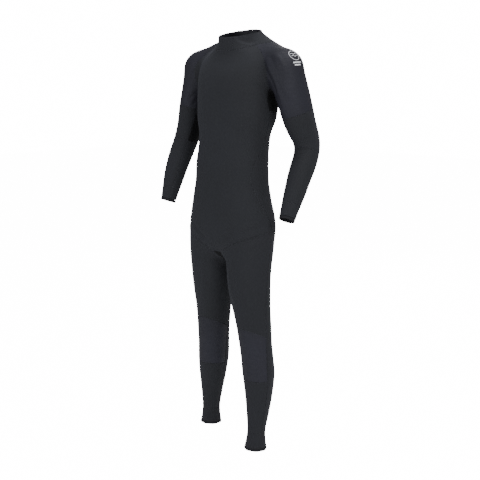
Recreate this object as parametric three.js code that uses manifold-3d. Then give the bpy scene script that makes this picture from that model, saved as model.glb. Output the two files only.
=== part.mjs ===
// Full-length back-zip wetsuit, as worn: a standing figure with bent sleeves.
// Millimetres, +Z up, +X to the wearer's left, -Y to the wearer's front.
// Origin on the ground plane of the ankle hems, midway between the feet.
//
// The outer surface is one smooth body: a torso, two legs and two arms blended together.
// Seams are curves on that surface, and each panel is a sheet of foam between its seams.

import * as THREE from "three";
import { mergeVertices } from "three/addons/utils/BufferGeometryUtils.js";
import Module from "manifold-3d";

const wasm = await Module();
wasm.setup();

const V = (x, y, z) => new THREE.Vector3(x, y, z);
const radians = THREE.MathUtils.degToRad;
const mix = THREE.MathUtils.lerp;
const LEFT = 1;
const RIGHT = -1;
const SIDES = [
  ["left", LEFT],
  ["right", RIGHT],
];

// ---- Driving dimensions ----

const FOAM = 4; // neoprene thickness of every body panel
const SEAM_GAP = 0.8; // glue line between butted panels
const ARMPIT_GAP = 10.5; // and round the armpit panels, whose foam folds
const PART_GAP = 0.4; // clearance between pieces laid on each other

// Torso section by height:
// [z, half width, y of the widest place, depth in front, depth behind, squareness in front, behind].
// The back line is straight from the waist to the collar, because the zip runs along it.
const BACK_LOW = 930;
const BACK_LOW_Y = 95;
const BACK_LEAN = 0.048;
const backLine = (z) => BACK_LOW_Y + BACK_LEAN * (z - BACK_LOW);
const backDepth = (z, middle) => backLine(z) - middle;
const TORSO = [
  [662, 46, 2, 36, 36, 2, 2],
  [684, 96, 0, 66, 62, 2, 2],
  [712, 137, -2, 88, 88, 2.1, 2.1],
  [752, 158, 0, 102, 104, 2.2, 2.2],
  [810, 163, 2, 109, 110, 2.2, 2.2],
  [880, 153, 1, 104, 100, 2.2, 2.2],
  [BACK_LOW, 144, 0, 99, backDepth(BACK_LOW, 0), 2.2, 2.2],
  [1000, 138, -2, 95, backDepth(1000, -2), 2.2, 2.3],
  [1045, 133, 2, 92, backDepth(1045, 2), 2.2, 2.5],
  [1100, 134, 10, 96, backDepth(1100, 10), 2.2, 2.8],
  [1150, 147, 20, 105, backDepth(1150, 20), 2.2, 3.4],
  [1210, 150, 28, 112, backDepth(1210, 28), 2.3, 3.8],
  [1260, 149, 32, 112, backDepth(1260, 32), 2.4, 3.6],
  [1310, 151, 38, 104, backDepth(1310, 38), 2.4, 3.2],
  [1345, 148, 42, 90, backDepth(1345, 42), 2.3, 2.8],
  [1370, 122, 42, 80, backDepth(1370, 42), 2.2, 2.5],
  [1388, 94, 40, 76, backDepth(1388, 40), 2.1, 2.2],
  [1402, 78, 38, 74, backDepth(1402, 38), 2, 2],
  [1425, 71, 36, 71, backDepth(1425, 36), 2, 2],
  [1475, 70, 34, 70, backDepth(1475, 34), 2, 2],
];

// Leg section by height: [z, sideways radius, front radius, back radius].
const LEG_SECTION = [
  [0, 40, 38, 41],
  [22, 36, 34, 37],
  [55, 32, 32, 35],
  [120, 38, 35, 45],
  [200, 49, 41, 60],
  [270, 56, 47, 68],
  [325, 57, 52, 63],
  [385, 60, 58, 54],
  [455, 66, 62, 55],
  [555, 76, 72, 62],
  [650, 80, 82, 74],
  [730, 82, 84, 88],
  [790, 74, 78, 88],
  [870, 40, 50, 60],
];
// Leg centre line by height: [z, x, y]. The left foot stands ahead of the right one.
const LEG_PATH = {
  [LEFT]: [
    [0, 144, -37],
    [200, 141, -22],
    [385, 124, -15],
    [590, 102, -22],
    [690, 93, -12],
    [810, 84, -2],
  ],
  [RIGHT]: [
    [0, -156, 54],
    [200, -138, 40],
    [385, -114, 27],
    [590, -93, 4],
    [690, -90, -1],
    [810, -84, 1],
  ],
};

// Arm centre line from the shoulder joint to past the wrist. The sleeves are cut bent.
const ARM_PATH = {
  [LEFT]: [
    [191, 51, 1320],
    [213, 58, 1250],
    [232, 82, 1148],
    [245, 107, 1060],
    [249, 56, 945],
    [254, -10, 822],
    [256, -26, 790],
  ],
  [RIGHT]: [
    [-184, 46, 1318],
    [-204, 46, 1250],
    [-220, 36, 1160],
    [-232, 16, 1084],
    [-252, -20, 970],
    [-262, -56, 850],
    [-265, -68, 816],
  ],
};
// Arm section along that line: [share of its length, sideways, front, back radius].
const ARM_SECTION = [
  [0, 60, 65, 65],
  [0.08, 55, 66, 67],
  [0.16, 50, 66, 68],
  [0.3, 48, 62, 62],
  [0.42, 44, 50, 52],
  [0.52, 42, 44, 46],
  [0.62, 42, 43, 41],
  [0.74, 38, 40, 36],
  [0.88, 30, 31, 30],
  [0.94, 27, 28, 28],
  [1, 26, 27, 27],
];
// The yoke: a ridge of round section from beside the neck to the shoulder joint, [x, y, z, radius].
const YOKE_INNER = [66, 78, 1392, 42];
const YOKE_OUTER = [182, 50, 1322, 60];
const ARM_STEPS = 60;
const ELBOW = 0.5; // shares of the arm line
const WRIST = 0.94;
const CUFF_TOP = 0.845;
const CAP_STRETCH = 1; // how far the shoulder cap reaches past the line's end

const ARM_BLEND = 24; // radii of the fillets where the limbs and the yoke meet the torso
const YOKE_BLEND = 34;
const LEG_BLEND = 30;

// Collar: a band that stands on a tilted neck seam.
const NECK_FRONT_Z = 1379;
const NECK_BACK_Z = 1430;
const COLLAR_FRONT_HEIGHT = 46;
const COLLAR_BACK_HEIGHT = 25;
const COLLAR_JOIN = 9; // its front join, counted in steps of the front neck seam

// Legs
const CROTCH_WIDTH = 19; // half width of the crotch gusset's ends
const KNEE_Z = 402;
const KNEE_SLOPE = 0.5; // the knee seam rises toward the front
const KNEE_PANEL_BOTTOM = 250;
const ANKLE_CUFF_TOP = 62;
const HEM = 9; // depth of the hem bands at wrist and ankle

// Zip on the back. Depths are measured outward from the back line.
const ZIP_BOTTOM = 950;
const ZIP_TOP = 1424;
const ZIP_SLOT = 10; // half width of the slot between the back panels
const TAPE = 1;
const TAPE_CLEARANCE = 0.54; // between the tape and the inner face of the back panels
const TAPE_EDGE = 15;
const CHAIN_GAP = 0.9; // half the gap between the two coils, where the slider's web runs
const COIL_WIDTH = 3.2;
const COIL = 2.2;
const STOP = 5; // length of the stops at both ends of the coils
const SLIDER_LENGTH = 22;
const SLIDER_WIDTH = 12;
const SLIDER_PLATE = 1.4;
const SLIDER_WEB = 1;
const BRIDGE_LENGTH = 10;
const BRIDGE_WIDTH = 4;
const BRIDGE_OPENING = 2.8;
const BRIDGE = 1.2;
const PULL = 1.8; // thickness of the pull tab and of its eye's bars
const PULL_LENGTH = 34;
const PULL_EYE = [5.2, 8]; // width and length of the hole round the bridge
const PULL_WIDTH = 8.4;
const FLAP_WIDTH = 40;
const FLAP = 2;
const FLAP_FACE = -11.5;

// Collar fastening and badge
const TAB_HEIGHT = 21;
const TAB_ENDS = [150, 224]; // angles of the strap's sewn end and free end
const TAB = 2.2;
const PATCH = 0.9; // hook and loop patches
const COLLAR_STEP = 3.4; // degrees between the facets of what is laid on the collar
const BADGE_SIZE = 68;
const BADGE = 0.6;
const BADGE_AIM = [0.8, -0.12, 0.52]; // direction of the badge from the shoulder joint

// ---- The body surface ----

// A smooth value from a table of rows [position, value, ...]; straight rows stay straight.
function along(table, at, column) {
  const last = table.length - 1;
  if (at <= table[0][0]) return table[0][column];
  if (at >= table[last][0]) return table[last][column];
  let i = 0;
  while (at > table[i + 1][0]) i++;
  const span = (k) => table[k + 1][0] - table[k][0];
  const rise = (k) => (table[k + 1][column] - table[k][column]) / span(k);
  const slope = (k) => {
    if (k === 0) return rise(0);
    if (k === last) return rise(last - 1);
    return (span(k) * rise(k - 1) + span(k - 1) * rise(k)) / (span(k) + span(k - 1));
  };
  const t = (at - table[i][0]) / span(i);
  const [start, end] = [table[i][column], table[i + 1][column]];
  const bend = (1 - t) * (slope(i) * span(i) - (end - start)) - t * (slope(i + 1) * span(i) - (end - start));
  return mix(start, end, t) + t * (1 - t) * bend;
}

// Distance from a section whose radius the point's own direction meets at 1/q of the way.
const pastSection = (r, q) => (r < 1e-6 ? -1 : r * (1 - 1 / q));

function torsoRadial(p, z) {
  const y = p.y - along(TORSO, z, 2);
  const half = y < 0 ? 0 : 1;
  const power = along(TORSO, z, 5 + half);
  const across = Math.abs(p.x) / along(TORSO, z, 1);
  const deep = Math.abs(y) / along(TORSO, z, 3 + half);
  const q = (across ** power + deep ** power) ** (1 / power);
  return pastSection(Math.hypot(p.x, y), q);
}

function torsoDistance(p) {
  const radial = torsoRadial(p, p.z);
  const lean = (torsoRadial(p, p.z + 1) - torsoRadial(p, p.z - 1)) / 2;
  return Math.max(radial / Math.hypot(1, lean), TORSO[0][0] - p.z);
}

function legDistance(p, side) {
  const x = p.x - along(LEG_PATH[side], p.z, 1);
  const y = p.y - along(LEG_PATH[side], p.z, 2);
  const deep = along(LEG_SECTION, p.z, y < 0 ? 2 : 3);
  const q = Math.hypot(x / along(LEG_SECTION, p.z, 1), y / deep);
  const top = LEG_SECTION[LEG_SECTION.length - 1][0];
  return Math.max(pastSection(Math.hypot(x, y), q), p.z - top);
}

const armLines = Object.fromEntries(
  SIDES.map(([, side]) => {
    const curve = new THREE.CatmullRomCurve3(ARM_PATH[side].map((p) => V(...p)));
    const points = curve.getSpacedPoints(ARM_STEPS);
    const tangents = points.map((_, i) => curve.getTangentAt(i / ARM_STEPS));
    return [side, { points, tangents }];
  }),
);

// The arm line's point, direction, outward and forward axes at a share of its length.
function armFrame(side, share) {
  const { points, tangents } = armLines[side];
  const at = THREE.MathUtils.clamp(share, 0, 1) * ARM_STEPS;
  const i = Math.min(Math.floor(at), ARM_STEPS - 1);
  const centre = points[i].clone().lerp(points[i + 1], at - i);
  const down = tangents[i].clone().lerp(tangents[i + 1], at - i).normalize();
  const out = V(side, 0, 0).addScaledVector(down, -side * down.x).normalize();
  const front = down.clone().cross(out).multiplyScalar(side).normalize();
  return { centre, down, out, front };
}

// The share of the arm line that is nearest to a point.
function armShare(side, p) {
  const { points } = armLines[side];
  let at = 0;
  let least = Infinity;
  for (let i = 0; i < ARM_STEPS; i++) {
    const step = points[i + 1].clone().sub(points[i]);
    const t = THREE.MathUtils.clamp(p.clone().sub(points[i]).dot(step) / step.lengthSq(), 0, 1);
    const far = p.distanceToSquared(points[i].clone().addScaledVector(step, t));
    if (far < least) [least, at] = [far, i + t];
  }
  return at / ARM_STEPS;
}

function armDistance(p, side) {
  const at = armShare(side, p);
  const frame = armFrame(side, at);
  const offset = p.clone().sub(frame.centre);
  const forward = offset.dot(frame.front);
  const sideways = along(ARM_SECTION, at, 1);
  const q = Math.hypot(
    offset.dot(frame.out) / sideways,
    forward / along(ARM_SECTION, at, forward > 0 ? 2 : 3),
    offset.dot(frame.down) / (CAP_STRETCH * sideways),
  );
  return pastSection(offset.length(), q);
}

function yokeDistance(p, side) {
  const [from, to] = [YOKE_INNER, YOKE_OUTER].map(([x, y, z]) => V(side * x, y, z));
  const axis = to.clone().sub(from);
  const share = THREE.MathUtils.clamp(p.clone().sub(from).dot(axis) / axis.lengthSq(), 0, 1);
  return p.distanceTo(from.addScaledVector(axis, share)) - mix(YOKE_INNER[3], YOKE_OUTER[3], share);
}

function blend(a, b, radius) {
  const share = Math.max(radius - Math.abs(a - b), 0) / radius;
  return Math.min(a, b) - (share * share * radius) / 4;
}

function bodyDistance(p) {
  const side = p.x < 0 ? RIGHT : LEFT;
  const hips = blend(torsoDistance(p), legDistance(p, side), LEG_BLEND);
  const both = blend(hips, legDistance(p, -side), LEG_BLEND);
  if (p.z < 760) return both;
  const shoulders = p.z < 1200 ? both : blend(both, yokeDistance(p, side), YOKE_BLEND);
  return blend(shoulders, armDistance(p, side), ARM_BLEND);
}

// The outward direction of the body surface at a point.
function outward(p) {
  const h = 0.6;
  const slope = (axis) =>
    bodyDistance(p.clone().addScaledVector(axis, h)) - bodyDistance(p.clone().addScaledVector(axis, -h));
  return V(slope(V(1, 0, 0)), slope(V(0, 1, 0)), slope(V(0, 0, 1))).normalize();
}

// The first place where a ray from inside the body leaves it.
function leaves(origin, direction) {
  const ray = direction.clone().normalize();
  const at = (d) => origin.clone().addScaledVector(ray, d);
  const step = 6;
  let far = step;
  while (bodyDistance(at(far)) < 0 && far < 500) far += step;
  let near = far - step;
  for (let i = 0; i < 14; i++) {
    const middle = (near + far) / 2;
    if (bodyDistance(at(middle)) < 0) near = middle;
    else far = middle;
  }
  return at((near + far) / 2);
}

// Draws a point that is already near the surface onto it.
function settled(p) {
  const q = p.clone();
  for (let i = 0; i < 12; i++) q.addScaledVector(outward(q), -0.9 * bodyDistance(q));
  return q;
}

// A point on the torso at a height and an angle from the front, positive to the left.
function onTorso(z, degrees) {
  const turn = radians(degrees);
  return leaves(V(0, along(TORSO, z, 2), z), V(Math.sin(turn), -Math.cos(turn), 0));
}

// ---- Seams ----

// Rows of [height, angle], read along a share 0 to 1 by a smooth line through them.
function seamAt(rows, share) {
  const table = rows.map((row, i) => [i / (rows.length - 1), ...row]);
  return [along(table, share, 1), along(table, share, 2)];
}
const steps = (count) => Array.from({ length: count + 1 }, (_, i) => i / count);
const seam = (rows, count) => steps(count).map((t) => seamAt(rows, t));

const neckZ = (degrees) => mix(NECK_FRONT_Z, NECK_BACK_Z, (1 - Math.cos(radians(degrees))) / 2);
const neckSeam = (from, to, count) =>
  steps(count).map((t) => {
    const angle = mix(from, to, t);
    return [neckZ(angle), angle];
  });

const RAGLAN_FRONT = 80; // angles where the raglan seams meet the neck seam
const RAGLAN_BACK = 124;
const LUMBAR_Z = 930;
const HIP_POINT = [772, 96]; // where side, groin and seat seams meet
const CROTCH_FRONT = [694, 15];
const CROTCH_BACK = [694, 165];
// Guide points of the raglan and underarm seams on the left, [x, y, z].
const RAGLAN_FRONT_GUIDES = [[124, 4, 1378], [162, -14, 1322], [158, 2, 1252]];
const RAGLAN_BACK_GUIDES = [
  [112, backLine(1374) - 18.3, 1374],
  [140, backLine(1318) - 11.6, 1318],
  [140, backLine(1252) - 18.5, 1252],
];
const UNDERARM_FRONT_GUIDE = [148, 12, 1212];
const UNDERARM_BACK_GUIDE = [134, backLine(1216) - 20.7, 1216];
const GUSSET_FRONT = [1178, 89];
const GUSSET_BACK = [1180, 121];
const WAIST_POINT = [1065, 98]; // where the side panel begins to swing forward
const SIDE_BACK_TOP = [1072, 119];

// Torso seams as lists of [height, angle], for the left side; the right one negates angles.
const sideFrontUpper = seam([GUSSET_FRONT, [1120, 95], WAIST_POINT], 4);
const sideBackUpper = seam([GUSSET_BACK, [1126, 120], SIDE_BACK_TOP], 4);
const sideFrontLower = seam([WAIST_POINT, [1008, 77], [950, 70], [890, 77], [832, 88], HIP_POINT], 8);
const sideBackLower = seam([SIDE_BACK_TOP, [1000, 117], [LUMBAR_Z, 114]], 3);
const seatSide = seam([[LUMBAR_Z, 114], [865, 109], HIP_POINT.map((v, i) => v + 6 * i)], 5);
const gussetBottom = seam([GUSSET_FRONT, [1176, 105], GUSSET_BACK], 4);
const waistSwing = seam([WAIST_POINT, [1068, 108], SIDE_BACK_TOP], 4);
const groin = seam([HIP_POINT, [764, 74], [738, 48], [711, 28], CROTCH_FRONT], 6);
const gluteal = seam([[HIP_POINT[0], HIP_POINT[1] + 6], [752, 124], [718, 146], CROTCH_BACK], 6);

// A seam through guide points that are not on the torso alone: rows of [height, angle, point].
function guided(side, from, guides, to, count) {
  const at = (row) => onTorso(row[0], side * row[1]);
  const path = [at(from), ...guides.map(([x, y, z]) => V(side * x, y, z)), ...(to ? [at(to)] : [])];
  const curve = new THREE.CatmullRomCurve3(path);
  return steps(count).map((t) => {
    const end = t === 0 || (t === 1 && to);
    const p = end ? curve.getPoint(t) : settled(curve.getPoint(t));
    return [p.z, THREE.MathUtils.radToDeg(Math.atan2(p.x, along(TORSO, p.z, 2) - p.y)), p];
  });
}
const raglan = (side, neckAngle, guides) => guided(side, [neckZ(neckAngle), neckAngle], guides, null, 6);
const seams = Object.fromEntries(
  SIDES.map(([, side]) => {
    const raglanFront = raglan(side, RAGLAN_FRONT, RAGLAN_FRONT_GUIDES);
    const raglanBack = raglan(side, RAGLAN_BACK, RAGLAN_BACK_GUIDES);
    const underarm = (top, guide, gusset) => {
      const rows = guided(side, gusset, [guide, top[6][2].toArray().map((v, i) => (i ? v : side * v))], null, 2);
      return [top[6], rows[1], rows[0]];
    };
    const sideFrontTop = underarm(raglanFront, UNDERARM_FRONT_GUIDE, GUSSET_FRONT);
    const sideBackTop = underarm(raglanBack, UNDERARM_BACK_GUIDE, GUSSET_BACK);
    return [side, { raglanFront, raglanBack, sideFrontTop, sideBackTop }];
  }),
);

const mirrored = (list, side) => list.map(([z, angle]) => [z, side * angle]);
const torsoPoints = (list) => list.map(([z, angle, point]) => point ?? onTorso(z, angle));

// Fills a grid between four edges, each a list of rows of numbers, by Coons' rule.
function between(top, bottom, first, last) {
  return first.map((_, row) =>
    top.map((_, column) => {
      const v = row / (first.length - 1);
      const u = column / (top.length - 1);
      return top[column].map((_, k) => {
        const rails = mix(top[column][k], bottom[column][k], v) + mix(first[row][k], last[row][k], u);
        const upper = mix(top[0][k], top[top.length - 1][k], u);
        const lower = mix(bottom[0][k], bottom[bottom.length - 1][k], u);
        return rails - mix(upper, lower, v);
      });
    }),
  );
}

// A grid of surface points between four torso seams; a seam row may bring its own point.
function torsoGrid(top, bottom, first, last) {
  const plain = [top, bottom, first, last].map((list) => list.map((row) => row.slice(0, 2)));
  const rows = between(...plain);
  rows.forEach((row, r) => {
    row[0] = first[r];
    row[row.length - 1] = last[r];
  });
  return rows.map(torsoPoints);
}

// ---- Solids ----

// A closed solid from an outer grid of points and the matching inner grid.
function sheetSolid(outer, inner) {
  const rows = outer.length;
  const columns = outer[0].length;
  const position = [...outer.flat(), ...inner.flat()].flatMap((p) => [p.x, p.y, p.z]);
  const at = (r, c) => r * columns + c;
  const under = rows * columns;
  const index = [];
  const quad = (a, b, c, d) => index.push(a, b, c, a, c, d);
  for (let r = 0; r < rows - 1; r++)
    for (let c = 0; c < columns - 1; c++) {
      quad(at(r, c), at(r, c + 1), at(r + 1, c + 1), at(r + 1, c));
      quad(under + at(r, c), under + at(r + 1, c), under + at(r + 1, c + 1), under + at(r, c + 1));
    }
  const rim = [];
  for (let c = 0; c < columns - 1; c++) rim.push(at(0, c));
  for (let r = 0; r < rows - 1; r++) rim.push(at(r, columns - 1));
  for (let c = columns - 1; c > 0; c--) rim.push(at(rows - 1, c));
  for (let r = rows - 1; r > 0; r--) rim.push(at(r, 0));
  rim.forEach((a, i) => {
    const b = rim[(i + 1) % rim.length];
    quad(b, a, under + a, under + b);
  });
  return facingOut(position, index);
}

// A closed tube wall from rings of outer points and the matching inner rings.
function tubeSolid(outer, inner) {
  const rows = outer.length;
  const around = outer[0].length;
  const position = [...outer.flat(), ...inner.flat()].flatMap((p) => [p.x, p.y, p.z]);
  const at = (r, c) => r * around + (c % around);
  const under = rows * around;
  const index = [];
  const quad = (a, b, c, d) => index.push(a, b, c, a, c, d);
  for (let c = 0; c < around; c++) {
    for (let r = 0; r < rows - 1; r++) {
      quad(at(r, c), at(r, c + 1), at(r + 1, c + 1), at(r + 1, c));
      quad(under + at(r, c), under + at(r + 1, c), under + at(r + 1, c + 1), under + at(r, c + 1));
    }
    quad(at(0, c + 1), at(0, c), under + at(0, c), under + at(0, c + 1));
    quad(at(rows - 1, c), at(rows - 1, c + 1), under + at(rows - 1, c + 1), under + at(rows - 1, c));
  }
  return facingOut(position, index);
}

function facingOut(position, index) {
  let volume = 0;
  for (let i = 0; i < index.length; i += 3) {
    const [a, b, c] = [0, 1, 2].map((k) => V(...position.slice(3 * index[i + k], 3 * index[i + k] + 3)));
    volume += a.dot(b.cross(c));
  }
  if (volume < 0) index.reverse();
  const made = new THREE.BufferGeometry();
  made.setAttribute("position", new THREE.Float32BufferAttribute(position, 3));
  made.setIndex(index);
  return made;
}

const step = (from, to, distance) => to.clone().sub(from).setLength(distance);

// The direction within the surface that leaves a seam squarely toward a neighbouring point.
function squarely(p, before, after, neighbour) {
  const away = after.clone().sub(before).cross(outward(p)).normalize();
  return away.dot(neighbour.clone().sub(p)) < 0 ? away.negate() : away;
}

// Draws the rim of a grid in by half the glue line, so that panels butt without touching.
function trimmed(grid, gap = SEAM_GAP, closed = false) {
  const [lastRow, lastColumn] = [grid.length - 1, grid[0].length - 1];
  const wrap = (c) => (closed ? (c + lastColumn + 1) % (lastColumn + 1) : Math.min(Math.max(c, 0), lastColumn));
  return grid.map((row, r) =>
    row.map((p, c) => {
      const moved = p.clone();
      const move = (before, after, neighbour) =>
        moved.addScaledVector(squarely(p, before, after, neighbour), gap / 2);
      const [up, down] = [grid[Math.max(r - 1, 0)], grid[Math.min(r + 1, lastRow)]];
      if (r === 0 || r === lastRow) move(row[wrap(c - 1)], row[wrap(c + 1)], grid[r === 0 ? 1 : r - 1][c]);
      if (!closed && (c === 0 || c === lastColumn)) move(up[c], down[c], row[c === 0 ? 1 : c - 1]);
      return moved;
    }),
  );
}

// The grid moved along the surface's outward direction; flat keeps that within a plane.
const offset = (grid, distance, flat = null) =>
  grid.map((row) =>
    row.map((p) => {
      const normal = outward(p);
      if (flat) normal.addScaledVector(flat, -normal.dot(flat)).normalize();
      return p.clone().addScaledVector(normal, distance);
    }),
  );

function panel(grid, gap = SEAM_GAP) {
  const face = trimmed(grid, gap);
  return sheetSolid(face, offset(face, -FOAM));
}

function sleeve(rings) {
  const face = trimmed(rings, SEAM_GAP, true);
  return tubeSolid(face, offset(face, -FOAM));
}

const wetsuit = new THREE.Group();
const finish = (color, roughness, metalness = 0) => new THREE.MeshStandardMaterial({ color, roughness, metalness });
const jersey = finish(0x2d2e33, 0.85);
const smoothSkin = finish(0x35364a, 0.5);
const gussetJersey = finish(0x1a1a1d, 0.9);
const binding = finish(0x222226, 0.8);
const nylon = finish(0x18181a, 0.6);
const coated = finish(0x3a3a3d, 0.4, 0.8);
const hookAndLoop = finish(0x141416, 0.95);
const print = finish(0xe6e6ea, 0.6);

function add(name, geometry, material) {
  const mesh = new THREE.Mesh(geometry, material);
  mesh.name = name;
  wetsuit.add(mesh);
  return mesh;
}

// ---- Torso panels ----

const NECK_FRONT_STEPS = 14;
const SHOULDER_STEPS = 4;
const BACK_STEPS = 6;
const slotAngle = (z) => {
  return 180 - THREE.MathUtils.radToDeg(Math.atan2(ZIP_SLOT, along(TORSO, z, 4)));
};
const lumbarSeam = (from, to, count) => steps(count).map((t) => [LUMBAR_Z, mix(from, to, t)]);

function addFrontPanel() {
  const edge = (side) => [
    ...seams[side].raglanFront,
    ...seams[side].sideFrontTop.slice(1),
    ...mirrored([...sideFrontUpper.slice(1), ...sideFrontLower.slice(1)], side),
  ];
  const top = neckSeam(-RAGLAN_FRONT, RAGLAN_FRONT, NECK_FRONT_STEPS);
  const crotch = [[CROTCH_FRONT[0], 0]];
  const bottom = [...mirrored(groin, RIGHT), ...crotch, ...[...groin].reverse()];
  add("front_panel", panel(torsoGrid(top, bottom, edge(RIGHT), edge(LEFT))), jersey);
}

function addBackPanel(name, side) {
  const { raglanBack, sideBackTop } = seams[side];
  const lower = mirrored([...sideBackUpper.slice(1), ...sideBackLower.slice(1)], side);
  const outer = [...raglanBack, ...sideBackTop.slice(1), ...lower];
  const inner = steps(outer.length - 1).map((t) => {
    const z = mix(neckZ(180), LUMBAR_Z, t);
    return [z, slotAngle(z)];
  });
  const top = neckSeam(RAGLAN_BACK, slotAngle(neckZ(180)), BACK_STEPS);
  top[BACK_STEPS] = inner[0];
  const bottom = lumbarSeam(side * outer[outer.length - 1][1], slotAngle(LUMBAR_Z), BACK_STEPS);
  const [neck, lumbar, slot] = [top, bottom, inner].map((list) => mirrored(list, side));
  add(`back_panel_${name}`, panel(torsoGrid(neck, lumbar, outer, slot)), jersey);
}

function addSeatPanel() {
  const half = lumbarSeam(seatSide[0][1], slotAngle(LUMBAR_Z), BACK_STEPS);
  const joined = (list, middle) => [
    ...list,
    middle,
    ...[...list].reverse().map(([z, angle]) => [z, 360 - angle]),
  ];
  const top = joined(half, [LUMBAR_Z, 180]);
  const bottom = joined(gluteal, [CROTCH_BACK[0], 180]);
  const far = seatSide.map(([z, angle]) => [z, 360 - angle]);
  add("seat_panel", panel(torsoGrid(top, bottom, seatSide, far)), jersey);
}

function addSidePanels(name, side) {
  const grid = (...edges) => torsoGrid(...edges.map((list) => mirrored(list, side)));
  const upper = grid(gussetBottom, waistSwing, sideFrontUpper, sideBackUpper);
  add(`side_panel_upper_${name}`, panel(upper), jersey);
  const hip = steps(4).map((t) => [HIP_POINT[0], mix(HIP_POINT[1], HIP_POINT[1] + 6, t)]);
  const back = [...sideBackLower, ...seatSide.slice(1)];
  add(`side_panel_lower_${name}`, panel(grid(waistSwing, hip, sideFrontLower, back)), jersey);
}

// ---- Sleeves ----

const SHOULDER_ROWS = 6; // rows from the raglan seam to the end of the shoulder panel
const SHOULDER_END = 0.27; // that end, as a share of the arm line
const SLEEVE_ROWS = 5; // rows from there to the elbow
const UNDER = 2; // columns each side of the underarm line that the under panel takes
const ARMPIT = [156, 48, 1230]; // guide point of the armpit seam, between arm and chest

// The armpit seam: five points from the front underarm point, below the arm, to the back one.
function armpitSeam(side) {
  const [from, to] = [seams[side].raglanFront[6][2], seams[side].raglanBack[6][2]];
  const guide = V(side * ARMPIT[0], ARMPIT[1], ARMPIT[2]);
  const curve = new THREE.CatmullRomCurve3([from, guide, to]);
  return steps(2 * UNDER).map((t) => (t === 0 || t === 1 ? curve.getPoint(t) : settled(curve.getPoint(t))));
}

// The raglan seam as a closed loop from the armpit round the front, the neck and the back.
function raglanLoop(side) {
  const armpit = armpitSeam(side);
  const { raglanFront, raglanBack } = seams[side];
  const neck = mirrored(neckSeam(RAGLAN_FRONT, RAGLAN_BACK, SHOULDER_STEPS), side).slice(1, -1);
  return [
    ...armpit.slice(0, 3).reverse(),
    ...torsoPoints([...[...raglanFront].reverse().slice(1), ...neck, ...raglanBack.slice(0, -1)]),
    ...armpit.slice(3).reverse(),
  ];
}

// A ring of arm surface points. Column 0 faces the body, and the ring runs forward first.
function armRing(side, share, around) {
  const { centre, out, front } = armFrame(side, share);
  return steps(around).slice(0, -1).map((t) => {
    const turn = 2 * Math.PI * t;
    const ray = out.clone().multiplyScalar(-Math.cos(turn)).addScaledVector(front, Math.sin(turn));
    return leaves(centre, ray);
  });
}

// The upper sleeve from the raglan seam over the shoulder, then ring by ring to the elbow.
function upperSleeveRings(side) {
  const loop = raglanLoop(side);
  const ring = armRing(side, SHOULDER_END, loop.length);
  const { down } = armFrame(side, SHOULDER_END);
  const cap = steps(SHOULDER_ROWS).map((t) => {
    if (t === 0) return loop;
    if (t === 1) return ring;
    return loop.map((p, i) => {
      const rise = p.clone().sub(ring[i]).dot(down);
      const corner = ring[i].clone().addScaledVector(down, rise);
      const top = (1 - Math.cos((2 * Math.PI * i) / loop.length)) / 2;
      const guide = p.clone().lerp(ring[i], 0.5).lerp(corner, top);
      const near = new THREE.QuadraticBezierCurve3(p, guide, ring[i]).getPoint(t);
      if (Math.min(i, loop.length - i) < UNDER) return settled(near);
      const centre = armFrame(side, armShare(side, near)).centre;
      return leaves(centre, near.sub(centre));
    });
  });
  const rest = steps(SLEEVE_ROWS).slice(1);
  return [...cap, ...rest.map((t) => armRing(side, mix(SHOULDER_END, ELBOW, t), loop.length))];
}

// Columns of a closed ring grid from one column to another, passing column 0 if need be.
const columns = (rings, from, count) =>
  rings.map((ring) => steps(count).map((_, i) => ring[(from + i + ring.length) % ring.length]));

function addSleeve(name, side) {
  const upper = upperSleeveRings(side);
  const around = upper[0].length;
  const outerCount = around - 2 * UNDER;
  const shoulder = upper.slice(0, SHOULDER_ROWS + 1);
  add(`shoulder_panel_${name}`, panel(columns(shoulder, UNDER, outerCount)), smoothSkin);
  add(`upper_sleeve_${name}`, panel(columns(upper.slice(SHOULDER_ROWS), UNDER, outerCount)), jersey);
  add(`underarm_sleeve_${name}`, panel(columns(upper, -UNDER, 2 * UNDER), ARMPIT_GAP), gussetJersey);
  addUnderarmGusset(name, side);
  const lower = steps(7).map((t) => armRing(side, mix(ELBOW, CUFF_TOP, t), around));
  add(`forearm_outer_${name}`, panel(columns(lower, UNDER, outerCount)), jersey);
  add(`forearm_inner_${name}`, panel(columns(lower, -UNDER, 2 * UNDER)), jersey);
  addCuff(name, side, around);
}

function addUnderarmGusset(name, side) {
  const { sideFrontTop, sideBackTop } = seams[side];
  const [bottom, front, back] = [mirrored(gussetBottom, side), sideFrontTop, sideBackTop].map((list) =>
    torsoPoints(list).map((p) => p.toArray()),
  );
  const top = armpitSeam(side).map((p) => p.toArray());
  const grid = between(top, bottom, front, back).map((row, r, all) =>
    row.map((xyz, c) => {
      const rim = r === 0 || r === all.length - 1 || c === 0 || c === row.length - 1;
      return rim ? V(...xyz) : settled(V(...xyz));
    }),
  );
  add(`underarm_gusset_${name}`, panel(grid, ARMPIT_GAP), gussetJersey);
}

function addCuff(name, side, around) {
  const length = armLines[side].points.reduce((sum, p, i, all) => sum + (i ? p.distanceTo(all[i - 1]) : 0), 0);
  const hemTop = WRIST - HEM / length;
  const rings = steps(2).map((t) => armRing(side, mix(CUFF_TOP, hemTop, t), around));
  add(`wrist_cuff_${name}`, sleeve(rings), jersey);
  const { centre, down } = armFrame(side, WRIST);
  const hem = [hemTop, WRIST].map((share) =>
    armRing(side, WRIST, around).map((p) => p.clone().addScaledVector(down, (share - WRIST) * length)),
  );
  const ends = [hem[0].map((p) => p.clone().addScaledVector(down, SEAM_GAP)), hem[1]];
  const inner = ends.map((ring) =>
    ring.map((p) => {
      const axial = p.clone().sub(centre).dot(down);
      return p.clone().add(step(p, centre.clone().addScaledVector(down, axial), FOAM));
    }),
  );
  add(`wrist_hem_${name}`, tubeSolid(ends, inner), binding);
}

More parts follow.
